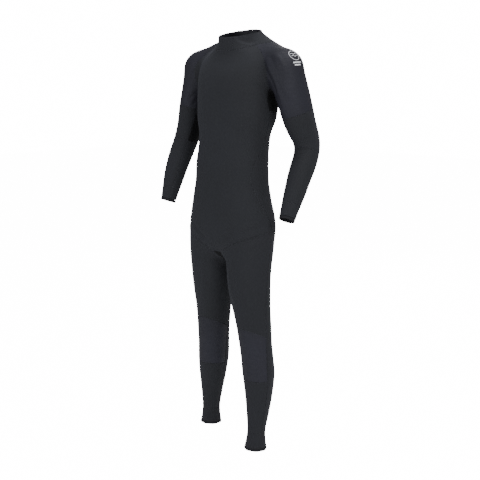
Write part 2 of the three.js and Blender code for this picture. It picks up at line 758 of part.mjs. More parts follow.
// ---- Legs ----

const THIGH_ROWS = 8;
const GROIN_STEPS = 6;
const INSEAM_STEPS = 4;
const LEG_AROUND = 2 * GROIN_STEPS + INSEAM_STEPS;
const OUTSEAM = 80; // angle of the outer leg seam from the front

const legCentre = (side, z) => V(along(LEG_PATH[side], z, 1), along(LEG_PATH[side], z, 2), z);

// The seam round the top of a leg, from the hip point round the front and the crotch.
function legLoop(side) {
  const front = torsoPoints(mirrored(groin, side));
  const back = torsoPoints(mirrored(gluteal, side)).reverse();
  const heart = V(side * 84, 0, 724);
  const [from, to] = [front[GROIN_STEPS], back[0]];
  const inseam = steps(INSEAM_STEPS).map((t) => {
    const low = Math.sin(Math.PI * t);
    const target = V(side * mix(CROTCH_WIDTH, 10, low), mix(from.y, to.y, t), mix(694, 660, low));
    return leaves(heart, target.sub(heart));
  });
  return [...front, ...inseam.slice(1, -1), ...back.slice(0, -1)];
}

// The angle round a leg of each column: outseam, front, inseam, back.
const legAngle = (column) => OUTSEAM - (360 * column) / LEG_AROUND;

// A ring of leg surface points in one plane, which rises toward the front by a slope.
function legRing(side, z, slope = 0) {
  const centre = legCentre(side, z);
  return steps(LEG_AROUND).slice(0, -1).map((_, column) => {
    const turn = radians(legAngle(column));
    return leaves(centre, V(side * Math.sin(turn), -Math.cos(turn), slope * Math.cos(turn)));
  });
}
const kneeRing = (side) => legRing(side, KNEE_Z, KNEE_SLOPE);

function thighRings(side) {
  const loop = legLoop(side);
  const knee = kneeRing(side);
  const heart = V(side * 84, 0, 724);
  const end = legCentre(side, KNEE_Z);
  return steps(THIGH_ROWS).map((t) => {
    if (t === 0) return loop;
    if (t === 1) return knee;
    const centre = heart.clone().lerp(legCentre(side, mix(724, end.z, t)), Math.min(1, 4 * t));
    const turn = t * t * (3 - 2 * t);
    return loop.map((p, i) => {
      const ray = p.clone().sub(heart).normalize().lerp(knee[i].clone().sub(end).normalize(), turn);
      return leaves(centre, ray);
    });
  });
}

function addLeg(name, side) {
  const half = LEG_AROUND / 2;
  const thigh = thighRings(side);
  add(`thigh_front_${name}`, panel(columns(thigh, 0, half)), jersey);
  add(`thigh_back_${name}`, panel(columns(thigh, half, half)), jersey);
  const level = (top, bottom, rows, slope = 0) =>
    steps(rows).map((t) => legRing(side, mix(top, bottom, t), slope * (1 - t)));
  const knee = level(KNEE_Z, KNEE_PANEL_BOTTOM, 5, KNEE_SLOPE);
  const shin = level(KNEE_PANEL_BOTTOM, ANKLE_CUFF_TOP, 5);
  add(`knee_panel_${name}`, panel(columns(knee, 0, half)), smoothSkin);
  add(`shin_panel_${name}`, panel(columns(shin, 0, half)), jersey);
  add(`calf_panel_${name}`, panel(columns([...knee, ...shin.slice(1)], half, half)), jersey);
  add(`ankle_cuff_${name}`, sleeve(level(ANKLE_CUFF_TOP, HEM, 3)), jersey);
  const hem = [HEM - SEAM_GAP, 0].map((z) => legRing(side, z));
  add(`ankle_hem_${name}`, tubeSolid(hem, offset(hem, -FOAM, V(0, 0, 1))), binding);
}

function addCrotchGusset() {
  const edge = (side) => legLoop(side).slice(GROIN_STEPS, GROIN_STEPS + INSEAM_STEPS + 1);
  const [left, right] = [edge(LEFT), edge(RIGHT)];
  const grid = left.map((p, i) => {
    const q = right[i];
    const top = leaves(V(0, (p.y + q.y) / 2, 707), V(0, 0, -1));
    const end = i === 0 || i === INSEAM_STEPS;
    const middle = end ? onTorso(p.z, i ? 180 : 0) : top;
    const toward = (a, t) => leaves(V(0, a.y, 700), middle.clone().lerp(a, t).sub(V(0, a.y, 700)));
    return [p, end ? onTorso(p.z, i ? 172.5 : 7.5) : toward(p, 0.5), middle,
      end ? onTorso(p.z, i ? -172.5 : -7.5) : toward(q, 0.5), q];
  });
  add("crotch_gusset", panel(grid), gussetJersey);
}

// ---- Collar ----

const neckRing = [
  ...mirrored(neckSeam(slotAngle(neckZ(180)), RAGLAN_BACK, BACK_STEPS), RIGHT),
  ...mirrored(neckSeam(RAGLAN_BACK, RAGLAN_FRONT, SHOULDER_STEPS), RIGHT).slice(1),
  ...neckSeam(-RAGLAN_FRONT, RAGLAN_FRONT, NECK_FRONT_STEPS).slice(1),
  ...neckSeam(RAGLAN_FRONT, RAGLAN_BACK, SHOULDER_STEPS).slice(1),
  ...neckSeam(RAGLAN_BACK, slotAngle(neckZ(180)), BACK_STEPS).slice(1),
];
const collarHeight = (degrees) =>
  mix(COLLAR_FRONT_HEIGHT, COLLAR_BACK_HEIGHT, (1 - Math.cos(radians(degrees))) / 2);

function addCollar() {
  const join = BACK_STEPS + SHOULDER_STEPS + COLLAR_JOIN;
  const band = (list) =>
    steps(3).map((t) => list.map(([z, angle]) => onTorso(z + t * collarHeight(angle), angle)));
  add("collar_right", panel(band(neckRing.slice(0, join + 1))), jersey);
  add("collar_left", panel(band(neckRing.slice(join))), jersey);
}

// A sheet that follows the collar between two angles and heights, at a height above it.
function onCollar([from, to], low, high, foot, thickness) {
  const grid = steps(Math.ceil((to - from) / COLLAR_STEP)).map((u) => {
    const angle = mix(from, to, u);
    return steps(2).map((v) => onTorso(mix(low, high, v), angle));
  });
  return sheetSolid(offset(grid, foot + thickness), offset(grid, foot));
}

function addCollarTab() {
  const high = neckZ(180) + collarHeight(180) - 4;
  const low = high - TAB_HEIGHT;
  const patch = [190, TAB_ENDS[1] - 2];
  const loopFoot = PART_GAP;
  const hookFoot = loopFoot + PATCH + PART_GAP;
  const tabFoot = hookFoot + PATCH + PART_GAP;
  add("collar_loop_patch", onCollar(patch, low + 2, high - 2, loopFoot, PATCH), hookAndLoop);
  add("collar_tab_hook_patch", onCollar(patch, low + 2, high - 2, hookFoot, PATCH), hookAndLoop);
  add("collar_tab", onCollar(TAB_ENDS, low, high, tabFoot, TAB), binding);
}

// ---- Zip ----

// The zip's own axes: across to the left, outward from the back, and up the back line.
const zipUp = V(0, BACK_LEAN, 1).normalize();
const zipOut = V(1, 0, 0).cross(zipUp).negate();
const zipFrame = new THREE.Matrix4()
  .makeBasis(V(1, 0, 0), zipOut, zipUp)
  .setPosition(0, backLine(ZIP_BOTTOM), ZIP_BOTTOM);
const ZIP_LENGTH = (ZIP_TOP - ZIP_BOTTOM) * Math.hypot(1, BACK_LEAN);
// How far the back falls away from its line over the edge of the tape, where it is roundest.
const TAPE_FALL = Math.max(
  ...steps(12).map((t) => {
    const z = mix(ZIP_BOTTOM, ZIP_TOP, t);
    const [width, , , behind, , power] = TORSO[0].slice(1).map((_, i) => along(TORSO, z, i + 1));
    return behind * (1 - (1 - (TAPE_EDGE / width) ** power) ** (1 / power));
  }),
);
const TAPE_FACE = -FOAM - TAPE_FALL - TAPE_CLEARANCE; // outer face of the tape
const COIL_FACE = TAPE_FACE + PART_GAP + COIL;
const TRAVEL_TOP = ZIP_LENGTH - STOP - PART_GAP - SLIDER_LENGTH / 2;

// A block given by its ranges across, outward and up.
function block([left, right], [inner, outer], [low, high]) {
  const box = new THREE.BoxGeometry(right - left, outer - inner, high - low);
  box.translate((left + right) / 2, (inner + outer) / 2, (low + high) / 2);
  return box;
}
const onZip = (geometry) => geometry.applyMatrix4(zipFrame);

function addZip() {
  for (const [name, side] of SIDES) {
    const across = (from, to) => (side > 0 ? [from, to] : [-to, -from]);
    const coil = across(CHAIN_GAP, CHAIN_GAP + COIL_WIDTH);
    const tape = block(across(CHAIN_GAP, TAPE_EDGE), [TAPE_FACE - TAPE, TAPE_FACE], [0, ZIP_LENGTH]);
    add(`zip_tape_${name}`, onZip(tape), nylon);
    const low = STOP + PART_GAP;
    const rail = block(coil, [TAPE_FACE + PART_GAP, COIL_FACE], [low, ZIP_LENGTH - low]);
    add(`zip_coil_${name}`, onZip(rail), nylon);
    const stop = block(coil, [TAPE_FACE + PART_GAP, COIL_FACE], [ZIP_LENGTH - STOP, ZIP_LENGTH]);
    add(`zip_top_stop_${name}`, onZip(stop), coated);
  }
  const reach = CHAIN_GAP + COIL_WIDTH;
  add("zip_bottom_stop", onZip(block([-reach, reach], [TAPE_FACE + PART_GAP, COIL_FACE], [0, STOP])), coated);
  const flapTop = ZIP_LENGTH + NECK_BACK_Z + COLLAR_BACK_HEIGHT - ZIP_TOP;
  const flap = block([-FLAP_WIDTH / 2, FLAP_WIDTH / 2], [FLAP_FACE - FLAP, FLAP_FACE], [-4, flapTop]);
  add("zip_backing_flap", onZip(flap), jersey);
}

function solid(geometry) {
  const merged = mergeVertices(geometry.clone().deleteAttribute("uv").deleteAttribute("normal"), 1e-4);
  const vertProperties = new Float32Array(merged.getAttribute("position").array);
  return new wasm.Manifold(new wasm.Mesh({ numProp: 3, vertProperties, triVerts: new Uint32Array(merged.index.array) }));
}

function joined(geometries) {
  const mesh = geometries.map(solid).reduce((sum, part) => sum.add(part)).getMesh();
  const made = new THREE.BufferGeometry();
  made.setAttribute("position", new THREE.Float32BufferAttribute(mesh.vertProperties, 3));
  made.setIndex(Array.from(mesh.triVerts));
  return made;
}

const SLIDER_TOP = COIL_FACE + PART_GAP + SLIDER_PLATE;
const SLIDER_FOOT = TAPE_FACE - TAPE - PART_GAP - SLIDER_PLATE;
const PIVOT_OUT = SLIDER_TOP + BRIDGE_OPENING / 2;

// Two plates joined by the web between the coils, and the bridge that holds the pull tab.
function addSlider() {
  const half = (size) => [-size / 2, size / 2];
  const [across, long] = [half(SLIDER_WIDTH), half(SLIDER_LENGTH)];
  const bridgeTop = SLIDER_TOP + BRIDGE_OPENING + BRIDGE;
  const bar = half(BRIDGE_WIDTH);
  const end = BRIDGE_LENGTH / 2;
  const body = joined([
    block(across, [SLIDER_TOP - SLIDER_PLATE, SLIDER_TOP], long),
    block(across, [SLIDER_FOOT, SLIDER_FOOT + SLIDER_PLATE], long),
    block(half(SLIDER_WEB), [SLIDER_FOOT + SLIDER_PLATE / 2, SLIDER_TOP - SLIDER_PLATE / 2], long),
    block(bar, [SLIDER_TOP + BRIDGE_OPENING, bridgeTop], half(BRIDGE_LENGTH)),
    block(bar, [SLIDER_TOP - SLIDER_PLATE / 2, bridgeTop - BRIDGE / 2], [end - BRIDGE, end]),
    block(bar, [SLIDER_TOP - SLIDER_PLATE / 2, bridgeTop - BRIDGE / 2], [-end, BRIDGE - end]),
  ]);
  add("zip_slider", onZip(body.translate(0, 0, TRAVEL_TOP)), coated);
}

// The pull tab hangs plumb from the bridge, with its eye round the bridge.
function addPull() {
  const outline = (left, right, low, high) => [
    new THREE.Vector2(left, low),
    new THREE.Vector2(right, low),
    new THREE.Vector2(right, high),
    new THREE.Vector2(left, high),
  ];
  const bar = PULL / 2;
  const [eyeWidth, eyeLength] = PULL_EYE;
  const shape = new THREE.Shape(outline(-PULL_WIDTH / 2, PULL_WIDTH / 2, bar - PULL_LENGTH, bar));
  shape.holes.push(new THREE.Path(outline(-eyeWidth / 2, eyeWidth / 2, -bar - eyeLength, -bar)));
  const tab = new THREE.ExtrudeGeometry(shape, { depth: PULL, bevelEnabled: false });
  tab.translate(0, 0, -PULL / 2).rotateX(Math.PI / 2);
  const pivot = V(0, PIVOT_OUT, TRAVEL_TOP).applyMatrix4(zipFrame);
  add("zip_pull", tab.translate(pivot.x, pivot.y, pivot.z), coated);
}

// ---- Badge ----

// A square patch of print on the left shoulder, facing outward and a little forward.
function addBadge() {
  const joint = V(...ARM_PATH[LEFT][0]);
  const aim = V(...BADGE_AIM).normalize();
  const across = V(0, 1, 0).addScaledVector(aim, -aim.y).normalize();
  const rise = aim.clone().cross(across);
  const grid = steps(8).map((v) =>
    steps(8).map((u) => {
      const spot = joint.clone().addScaledVector(aim, ARM_SECTION[0][1]);
      spot.addScaledVector(across, BADGE_SIZE * (u - 0.5)).addScaledVector(rise, BADGE_SIZE * (v - 0.5));
      return settled(spot);
    }),
  );
  add("shoulder_badge_left", sheetSolid(offset(grid, PART_GAP + BADGE), offset(grid, PART_GAP)), print);
}

for (const [name, side] of SIDES) {
  addBackPanel(name, side);
  addSidePanels(name, side);
  addSleeve(name, side);
  addLeg(name, side);
}
addFrontPanel();
addSeatPanel();
addCrotchGusset();
addCollar();
addCollarTab();
addZip();
addSlider();
addPull();
addBadge();

export default wetsuit;
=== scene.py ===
"""Full-length neoprene wetsuit, as worn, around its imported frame.

Every panel of foam is a surface worked out with numpy. A few guide points on each seam and across
each panel are joined by a smooth spline and drawn onto one body surface (torso, legs and arms
blended together), then given folds, an edge that rolls down to the glue line, and a thickness.
Shapes are in millimetres and become metres when a mesh is made. +X is the wearer's left, -Y the front.
"""

import bpy
import numpy as np
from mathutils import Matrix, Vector


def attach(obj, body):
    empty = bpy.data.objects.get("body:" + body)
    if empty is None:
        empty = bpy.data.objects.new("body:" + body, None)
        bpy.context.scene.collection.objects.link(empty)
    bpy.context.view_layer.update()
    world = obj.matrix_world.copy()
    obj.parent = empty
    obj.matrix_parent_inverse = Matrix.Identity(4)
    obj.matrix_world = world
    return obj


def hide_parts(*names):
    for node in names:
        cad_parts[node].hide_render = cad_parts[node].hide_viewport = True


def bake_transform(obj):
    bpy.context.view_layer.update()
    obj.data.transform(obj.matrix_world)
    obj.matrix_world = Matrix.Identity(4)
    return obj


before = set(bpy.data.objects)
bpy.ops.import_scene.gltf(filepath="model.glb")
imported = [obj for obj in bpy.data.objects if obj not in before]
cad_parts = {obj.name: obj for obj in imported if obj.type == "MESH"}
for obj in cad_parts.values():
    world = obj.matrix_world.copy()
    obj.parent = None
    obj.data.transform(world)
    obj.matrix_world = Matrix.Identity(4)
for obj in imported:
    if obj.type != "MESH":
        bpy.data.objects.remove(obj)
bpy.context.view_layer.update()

MM = 0.001
LEFT, RIGHT = 1, -1
SIDES = (("left", LEFT), ("right", RIGHT))

# ---- Sizes, as the frame has them ----

FOAM = 4.0  # neoprene thickness
BACK_LOW, BACK_LOW_Y, BACK_LEAN = 930, 95, 0.048  # the straight line of the back


def back_line(z):
    return BACK_LOW_Y + BACK_LEAN * (z - BACK_LOW)


# [z, half width, y of the widest place, depth in front, depth behind, squareness in front, behind]
TORSO = np.array([
    [662, 46, 2, 36, 36, 2, 2], [684, 96, 0, 66, 62, 2, 2], [712, 137, -2, 88, 88, 2.1, 2.1],
    [752, 158, 0, 102, 104, 2.2, 2.2], [810, 163, 2, 109, 110, 2.2, 2.2], [880, 153, 1, 104, 100, 2.2, 2.2],
    [930, 144, 0, 99, 0, 2.2, 2.2], [1000, 138, -2, 95, 0, 2.2, 2.3], [1045, 133, 2, 92, 0, 2.2, 2.5],
    [1100, 134, 10, 96, 0, 2.2, 2.8], [1150, 147, 20, 105, 0, 2.2, 3.4], [1210, 150, 28, 112, 0, 2.3, 3.8],
    [1260, 149, 32, 112, 0, 2.4, 3.6], [1310, 151, 38, 104, 0, 2.4, 3.2], [1345, 148, 42, 90, 0, 2.3, 2.8],
    [1370, 122, 42, 80, 0, 2.2, 2.5], [1388, 94, 40, 76, 0, 2.1, 2.2], [1402, 78, 38, 74, 0, 2, 2],
    [1425, 71, 36, 71, 0, 2, 2], [1475, 70, 34, 70, 0, 2, 2],
])
# From the waist up the back lies on its straight line.
TORSO[6:, 4] = back_line(TORSO[6:, 0]) - TORSO[6:, 2]
# [z, sideways radius, front radius, back radius]
LEG_SECTION = np.array([
    [0, 40, 38, 41], [22, 36, 34, 37], [55, 32, 32, 35], [120, 38, 35, 45], [200, 49, 41, 60],
    [270, 56, 47, 68], [325, 57, 52, 63], [385, 60, 58, 54], [455, 66, 62, 55], [555, 76, 72, 62],
    [650, 80, 82, 74], [730, 82, 84, 88], [790, 74, 78, 88], [870, 40, 50, 60],
])
LEG_PATH = {  # [z, x, y]
    LEFT: np.array([[0, 144, -37], [200, 141, -22], [385, 124, -15],
                    [590, 102, -22], [690, 93, -12], [810, 84, -2]]),
    RIGHT: np.array([[0, -156, 54], [200, -138, 40], [385, -114, 27],
                     [590, -93, 4], [690, -90, -1], [810, -84, 1]]),
}
ARM_PATH = {
    LEFT: np.array([[191, 51, 1320], [213, 58, 1250], [232, 82, 1148], [245, 107, 1060], [249, 56, 945],
                    [254, -10, 822], [256, -26, 790]], float),
    RIGHT: np.array([[-184, 46, 1318], [-204, 46, 1250], [-220, 36, 1160], [-232, 16, 1084], [-252, -20, 970],
                     [-262, -56, 850], [-265, -68, 816]], float),
}
# [share of the arm line, sideways, front, back radius]
ARM_SECTION = np.array([
    [0, 60, 65, 65], [0.08, 55, 66, 67], [0.16, 50, 66, 68], [0.3, 48, 62, 62], [0.42, 44, 50, 52],
    [0.52, 42, 44, 46], [0.62, 42, 43, 41], [0.74, 38, 40, 36], [0.88, 30, 31, 30], [0.94, 27, 28, 28],
    [1, 26, 27, 27],
])
YOKE = np.array([[66, 78, 1392, 42], [182, 50, 1322, 60]], float)  # ends of the shoulder ridge and its radii
ARM_STEPS = 60
ELBOW, WRIST, CUFF_TOP, SHOULDER_END = 0.5, 0.94, 0.845, 0.27
ARM_BLEND, YOKE_BLEND, LEG_BLEND = 24, 34, 30
NECK_FRONT_Z, NECK_BACK_Z = 1379, 1430
COLLAR_FRONT_HEIGHT, COLLAR_BACK_HEIGHT, COLLAR_JOIN = 46, 25, 9
CROTCH_WIDTH, KNEE_Z, KNEE_SLOPE, KNEE_PANEL_BOTTOM, ANKLE_CUFF_TOP, HEM = 19, 402, 0.5, 250, 62, 9
ZIP_BOTTOM, ZIP_TOP, ZIP_SLOT = 950, 1424, 10
RAGLAN_FRONT, RAGLAN_BACK, LUMBAR_Z = 80, 124, 930
HIP_POINT, CROTCH_FRONT, CROTCH_BACK = [772, 96], [694, 15], [694, 165]
RAGLAN_FRONT_GUIDES = np.array([[124, 4, 1378], [162, -14, 1322], [158, 2, 1252]], float)
RAGLAN_BACK_GUIDES = np.array([[112, 98, 1374], [140, 102, 1318], [140, 92, 1252]], float)
UNDERARM_FRONT_GUIDE, UNDERARM_BACK_GUIDE, ARMPIT = [148, 12, 1212], [134, 88, 1216], [156, 48, 1230]
GUSSET_FRONT, GUSSET_BACK, WAIST_POINT, SIDE_BACK_TOP = [1178, 89], [1180, 121], [1065, 98], [1072, 119]
NECK_FRONT_STEPS, SHOULDER_STEPS, BACK_STEPS = 14, 4, 6
SHOULDER_ROWS, SLEEVE_ROWS, UNDER = 6, 5, 2
THIGH_ROWS, GROIN_STEPS, INSEAM_STEPS, OUTSEAM = 8, 6, 4, 80
LEG_AROUND = 2 * GROIN_STEPS + INSEAM_STEPS

# ---- Sizes of the fine surface ----

CELL = 5.0  # size of a grid cell
EDGE_LINES = np.array([0.15, 0.8, 1.7, 2.9, 4.6])  # distances from a cut edge of the lines that round it
SEAM_DIP, SEAM_ROLL = 0.8, 1.9  # how far an edge rolls down to the glue line, and over what width
THREAD = 0.34  # radius of the sewing thread


# ---- The body surface ----

def steps(count):
    """count + 1 even shares from 0 to 1."""
    return np.linspace(0.0, 1.0, count + 1)


def mix(a, b, t):
    """The value at share t of the way from a to b."""
    return a + (b - a) * t


def rows_of(*columns):
    """Columns of equal length, or single numbers, side by side."""
    return np.stack(np.broadcast_arrays(*columns), -1).astype(float)


def unit(v):
    """Vectors divided by their lengths."""
    return v / np.maximum(np.linalg.norm(v, axis=-1, keepdims=True), 1e-12)


def along(table, at, column):
    """A column of a table [position, value, ...] read at positions by a cubic whose slope at each row is
    the weighted mean of the slopes beside it."""
    x, y = table[:, 0], table[:, column]
    span = np.diff(x)
    rise = np.diff(y) / span
    inner = (span[1:] * rise[:-1] + span[:-1] * rise[1:]) / (span[1:] + span[:-1])
    slope = np.concatenate([rise[:1], inner, rise[-1:]])
    at = np.clip(at, x[0], x[-1])
    i = np.clip(np.searchsorted(x, at) - 1, 0, len(span) - 1)
    t = (at - x[i]) / span[i]
    change = y[i + 1] - y[i]
    bend = (1 - t) * (slope[i] * span[i] - change) - t * (slope[i + 1] * span[i] - change)
    return y[i] + change * t + t * (1 - t) * bend


def past_section(r, q):
    """Distance past a section that the point's own direction meets at 1/q of the way."""
    return np.where(r < 1e-6, -1.0, r * (1 - 1 / np.maximum(q, 1e-9)))


def torso_radial(p, z):
    """Superellipse |x/a|^n + |y/b|^n = 1 with its own depth and squareness in front and behind."""
    y = p[:, 1] - along(TORSO, z, 2)
    behind = y >= 0
    power = np.where(behind, along(TORSO, z, 6), along(TORSO, z, 5))
    across = np.abs(p[:, 0]) / along(TORSO, z, 1)
    deep = np.abs(y) / np.where(behind, along(TORSO, z, 4), along(TORSO, z, 3))
    return past_section(np.hypot(p[:, 0], y), (across**power + deep**power) ** (1 / power))


def torso_distance(p):
    """Radial distance past the torso's section, divided by the slope of its wall; cut flat at its foot."""
    radial = torso_radial(p, p[:, 2])
    lean = (torso_radial(p, p[:, 2] + 1) - torso_radial(p, p[:, 2] - 1)) / 2
    return np.maximum(radial / np.hypot(1, lean), TORSO[0, 0] - p[:, 2])


def leg_distance(p, side):
    """Radial distance past an ellipse round the leg's line, deeper or shallower behind than in front."""
    z = p[:, 2]
    x = p[:, 0] - along(LEG_PATH[side], z, 1)
    y = p[:, 1] - along(LEG_PATH[side], z, 2)
    deep = np.where(y < 0, along(LEG_SECTION, z, 2), along(LEG_SECTION, z, 3))
    q = np.hypot(x / along(LEG_SECTION, z, 1), y / deep)
    return np.maximum(past_section(np.hypot(x, y), q), z - LEG_SECTION[-1, 0])


def curve_through(points, at):
    """Centripetal Catmull-Rom curve through points, read at positions counted in points."""
    padded = np.vstack([2 * points[0] - points[1], points, 2 * points[-1] - points[-2]])
    at = np.atleast_1d(at)
    i = np.clip(np.floor(at).astype(int), 0, len(points) - 2)
    w = (at - i)[:, None]
    a, b, c, d = (padded[i + k] for k in range(4))
    before, here, after = (np.sqrt(np.linalg.norm(q - p, axis=1, keepdims=True))
                           for p, q in ((a, b), (b, c), (c, d)))
    start = here * ((b - a) / before - (c - a) / (before + here) + (c - b) / here)
    end = here * ((c - b) / here - (d - b) / (here + after) + (d - c) / after)
    return b + start * w + (3 * (c - b) - 2 * start - end) * w**2 + (2 * (b - c) + start + end) * w**3


def arm_line(side):
    """Even points, directions and length of the curve through the arm's path."""
    path = ARM_PATH[side]
    fine = np.linspace(0, len(path) - 1, 201)
    points = curve_through(path, fine)
    run = np.concatenate([[0], np.cumsum(np.linalg.norm(np.diff(points, axis=0), axis=1))])
    at = np.interp(steps(ARM_STEPS) * run[-1], run, fine)
    low, high = np.maximum(at - 6e-4, 0), np.minimum(at + 6e-4, len(path) - 1)
    return curve_through(path, at), unit(curve_through(path, high) - curve_through(path, low)), run[-1]


ARM_LINE = {side: arm_line(side) for _, side in SIDES}


def arm_frame(side, share):
    """Centre, down, outward and forward axes of the arm at shares of its length."""
    points, tangents, _ = ARM_LINE[side]
    at = np.clip(np.atleast_1d(share), 0, 1) * ARM_STEPS
    i = np.minimum(np.floor(at).astype(int), ARM_STEPS - 1)
    w = (at - i)[:, None]
    centre = mix(points[i], points[i + 1], w)
    down = unit(mix(tangents[i], tangents[i + 1], w))
    out = unit(np.array([side, 0.0, 0.0]) - side * down[:, :1] * down)
    return centre, down, out, unit(side * np.cross(down, out))


def arm_share(side, p):
    """The share of the arm line that is nearest to each point."""
    points = ARM_LINE[side][0]
    span = np.diff(points, axis=0)
    away = p[:, None] - points[:-1]
    t = np.clip((away * span).sum(-1) / (span**2).sum(-1), 0, 1)
    far = ((away - t[..., None] * span) ** 2).sum(-1)
    i = far.argmin(1)
    return (i + t[np.arange(len(p)), i]) / ARM_STEPS


def arm_distance(p, side):
    """Distance past an ellipsoid that stands at the nearest share of the arm's line."""
    at = arm_share(side, p)
    centre, down, out, front = arm_frame(side, at)
    offset = p - centre
    forward = (offset * front).sum(1)
    sideways = along(ARM_SECTION, at, 1)
    deep = np.where(forward > 0, along(ARM_SECTION, at, 2), along(ARM_SECTION, at, 3))
    q = np.sqrt(((offset * out).sum(1) / sideways) ** 2 + (forward / deep) ** 2
                + ((offset * down).sum(1) / sideways) ** 2)
    return past_section(np.linalg.norm(offset, axis=1), q)


def yoke_distance(p):
    """Distance to a round cone along the shoulder: to its axis, less a radius that tapers along it."""
    inner, outer = YOKE[:, :3]
    folded = np.column_stack([np.abs(p[:, 0]), p[:, 1:]])
    share = np.clip((folded - inner) @ (outer - inner) / ((outer - inner) ** 2).sum(), 0, 1)
    axis = inner + share[:, None] * (outer - inner)
    return np.linalg.norm(folded - axis, axis=1) - mix(YOKE[0, 3], YOKE[1, 3], share)


def joined(a, b, radius):
    """The smaller of two distances, with a quadratic fillet where they are within a radius of each
    other."""
    share = np.maximum(radius - np.abs(a - b), 0) / radius
    return np.minimum(a, b) - share**2 * radius / 4


def body_distance(p):
    """Distance outside the body: torso, legs, shoulder ridge and arms, blended with fillets."""
    shape = p.shape[:-1]
    p = p.reshape(-1, 3)
    x, z = p[:, 0], p[:, 2]
    whole = np.full(len(p), 1e3)
    high = z > TORSO[0, 0] - 2 * LEG_BLEND
    whole[high] = torso_distance(p[high])
    low = z < LEG_SECTION[-1, 0] + 2 * LEG_BLEND
    legs = [leg_distance(p[low], side) for _, side in SIDES]
    own, other = np.where(x[low] >= 0, legs, legs[::-1])
    whole[low] = joined(joined(whole[low], own, LEG_BLEND), other, LEG_BLEND)
    top = z >= 1200
    whole[top] = joined(whole[top], yoke_distance(p[top]), YOKE_BLEND)
    for _, side in SIDES:
        near = (side * x > 85) & (z >= 760)
        if near.any():
            whole[near] = joined(whole[near], arm_distance(p[near], side), ARM_BLEND)
    return whole.reshape(shape)


CORNERS = np.array([[1, -1, -1], [-1, -1, 1], [-1, 1, -1], [1, 1, 1]], float)


def outward(p):
    """The body's outward direction, from its distance at the corners of a small tetrahedron."""
    return unit(sum(body_distance(p + 0.6 * k)[..., None] * k for k in CORNERS))


def settled(p, rounds=4):
    """Points moved onto the body: each round steps back along the normal by 0.92 of the distance."""
    for _ in range(rounds):
        p = p - 0.92 * body_distance(p)[..., None] * outward(p)
    return p


def leaves(origin, direction):
    """The first place where each ray from inside the body leaves it."""
    direction = unit(np.asarray(direction, float))
    origin = np.broadcast_to(np.asarray(origin, float), direction.shape)
    inside = np.zeros(direction.shape[:-1])
    going = np.ones(inside.shape, bool)
    for _ in range(80):
        going &= body_distance(origin + (inside + 6)[..., None] * direction) < 0
        if not going.any():
            break
        inside += 6 * going
    low, high = inside, inside + 6
    for _ in range(14):
        middle = (low + high) / 2
        deep = body_distance(origin + middle[..., None] * direction) < 0
        low, high = np.where(deep, middle, low), np.where(deep, high, middle)
    return origin + ((low + high) / 2)[..., None] * direction


def on_torso(rows):
    """Body points at rows of [height, angle from the front in degrees, positive to the left]."""
    rows = np.asarray(rows, float)
    z, turn = rows[..., 0], np.radians(rows[..., 1])
    origin = rows_of(0 * z, along(TORSO, z, 2), z)
    return leaves(origin, rows_of(np.sin(turn), -np.cos(turn), 0 * z))


# ---- Seams ----

def seam(rows, count):
    """Even points on a cubic through rows of [height, angle]."""
    table = np.column_stack([steps(len(rows) - 1), np.array(rows, float)])
    return rows_of(along(table, steps(count), 1), along(table, steps(count), 2))


def neck_z(degrees):
    """Height of the neck seam: a cosine from its front to its back."""
    return mix(NECK_FRONT_Z, NECK_BACK_Z, (1 - np.cos(np.radians(degrees))) / 2)


def neck_seam(start, end, count):
    """The neck seam between two angles."""
    angle = mix(start, end, steps(count))
    return rows_of(neck_z(angle), angle)


def mirrored(rows, side):
    """Rows with the sign of their angle changed on the right side."""
    return rows * np.array([1, side])


def slot_angle(z):
    """The angle whose point on the back lies half the zip's slot from the middle."""
    return 180 - np.degrees(np.arctan2(ZIP_SLOT, along(TORSO, z, 4)))


def lumbar_seam(start, end, count):
    """The level seam across the small of the back."""
    return rows_of(LUMBAR_Z, mix(start, end, steps(count)))


SIDE_FRONT_UPPER = seam([GUSSET_FRONT, [1120, 95], WAIST_POINT], 4)
SIDE_BACK_UPPER = seam([GUSSET_BACK, [1126, 120], SIDE_BACK_TOP], 4)
SIDE_FRONT_LOWER = seam([WAIST_POINT, [1008, 77], [950, 70], [890, 77], [832, 88], HIP_POINT], 8)
SIDE_BACK_LOWER = seam([SIDE_BACK_TOP, [1000, 117], [LUMBAR_Z, 114]], 3)
HIP_BACK = [HIP_POINT[0], HIP_POINT[1] + 6]
SEAT_SIDE = seam([[LUMBAR_Z, 114], [865, 109], HIP_BACK], 5)
GUSSET_BOTTOM = seam([GUSSET_FRONT, [1176, 105], GUSSET_BACK], 4)
WAIST_SWING = seam([WAIST_POINT, [1068, 108], SIDE_BACK_TOP], 4)
GROIN = seam([HIP_POINT, [764, 74], [738, 48], [711, 28], CROTCH_FRONT], 6)
GLUTEAL = seam([HIP_BACK, [752, 124], [718, 146], CROTCH_BACK], 6)


def guided(side, start, guides, count):
    """A seam from a torso row through guide points, as (rows, points)."""
    path = np.vstack([on_torso(mirrored(np.array([start], float), side)), guides * [side, 1, 1]])
    points = curve_through(path, steps(count) * (len(path) - 1))
    points[1:] = settled(points[1:], 12)
    angle = np.degrees(np.arctan2(points[:, 0], along(TORSO, points[:, 2], 2) - points[:, 1]))
    return rows_of(points[:, 2], angle), points


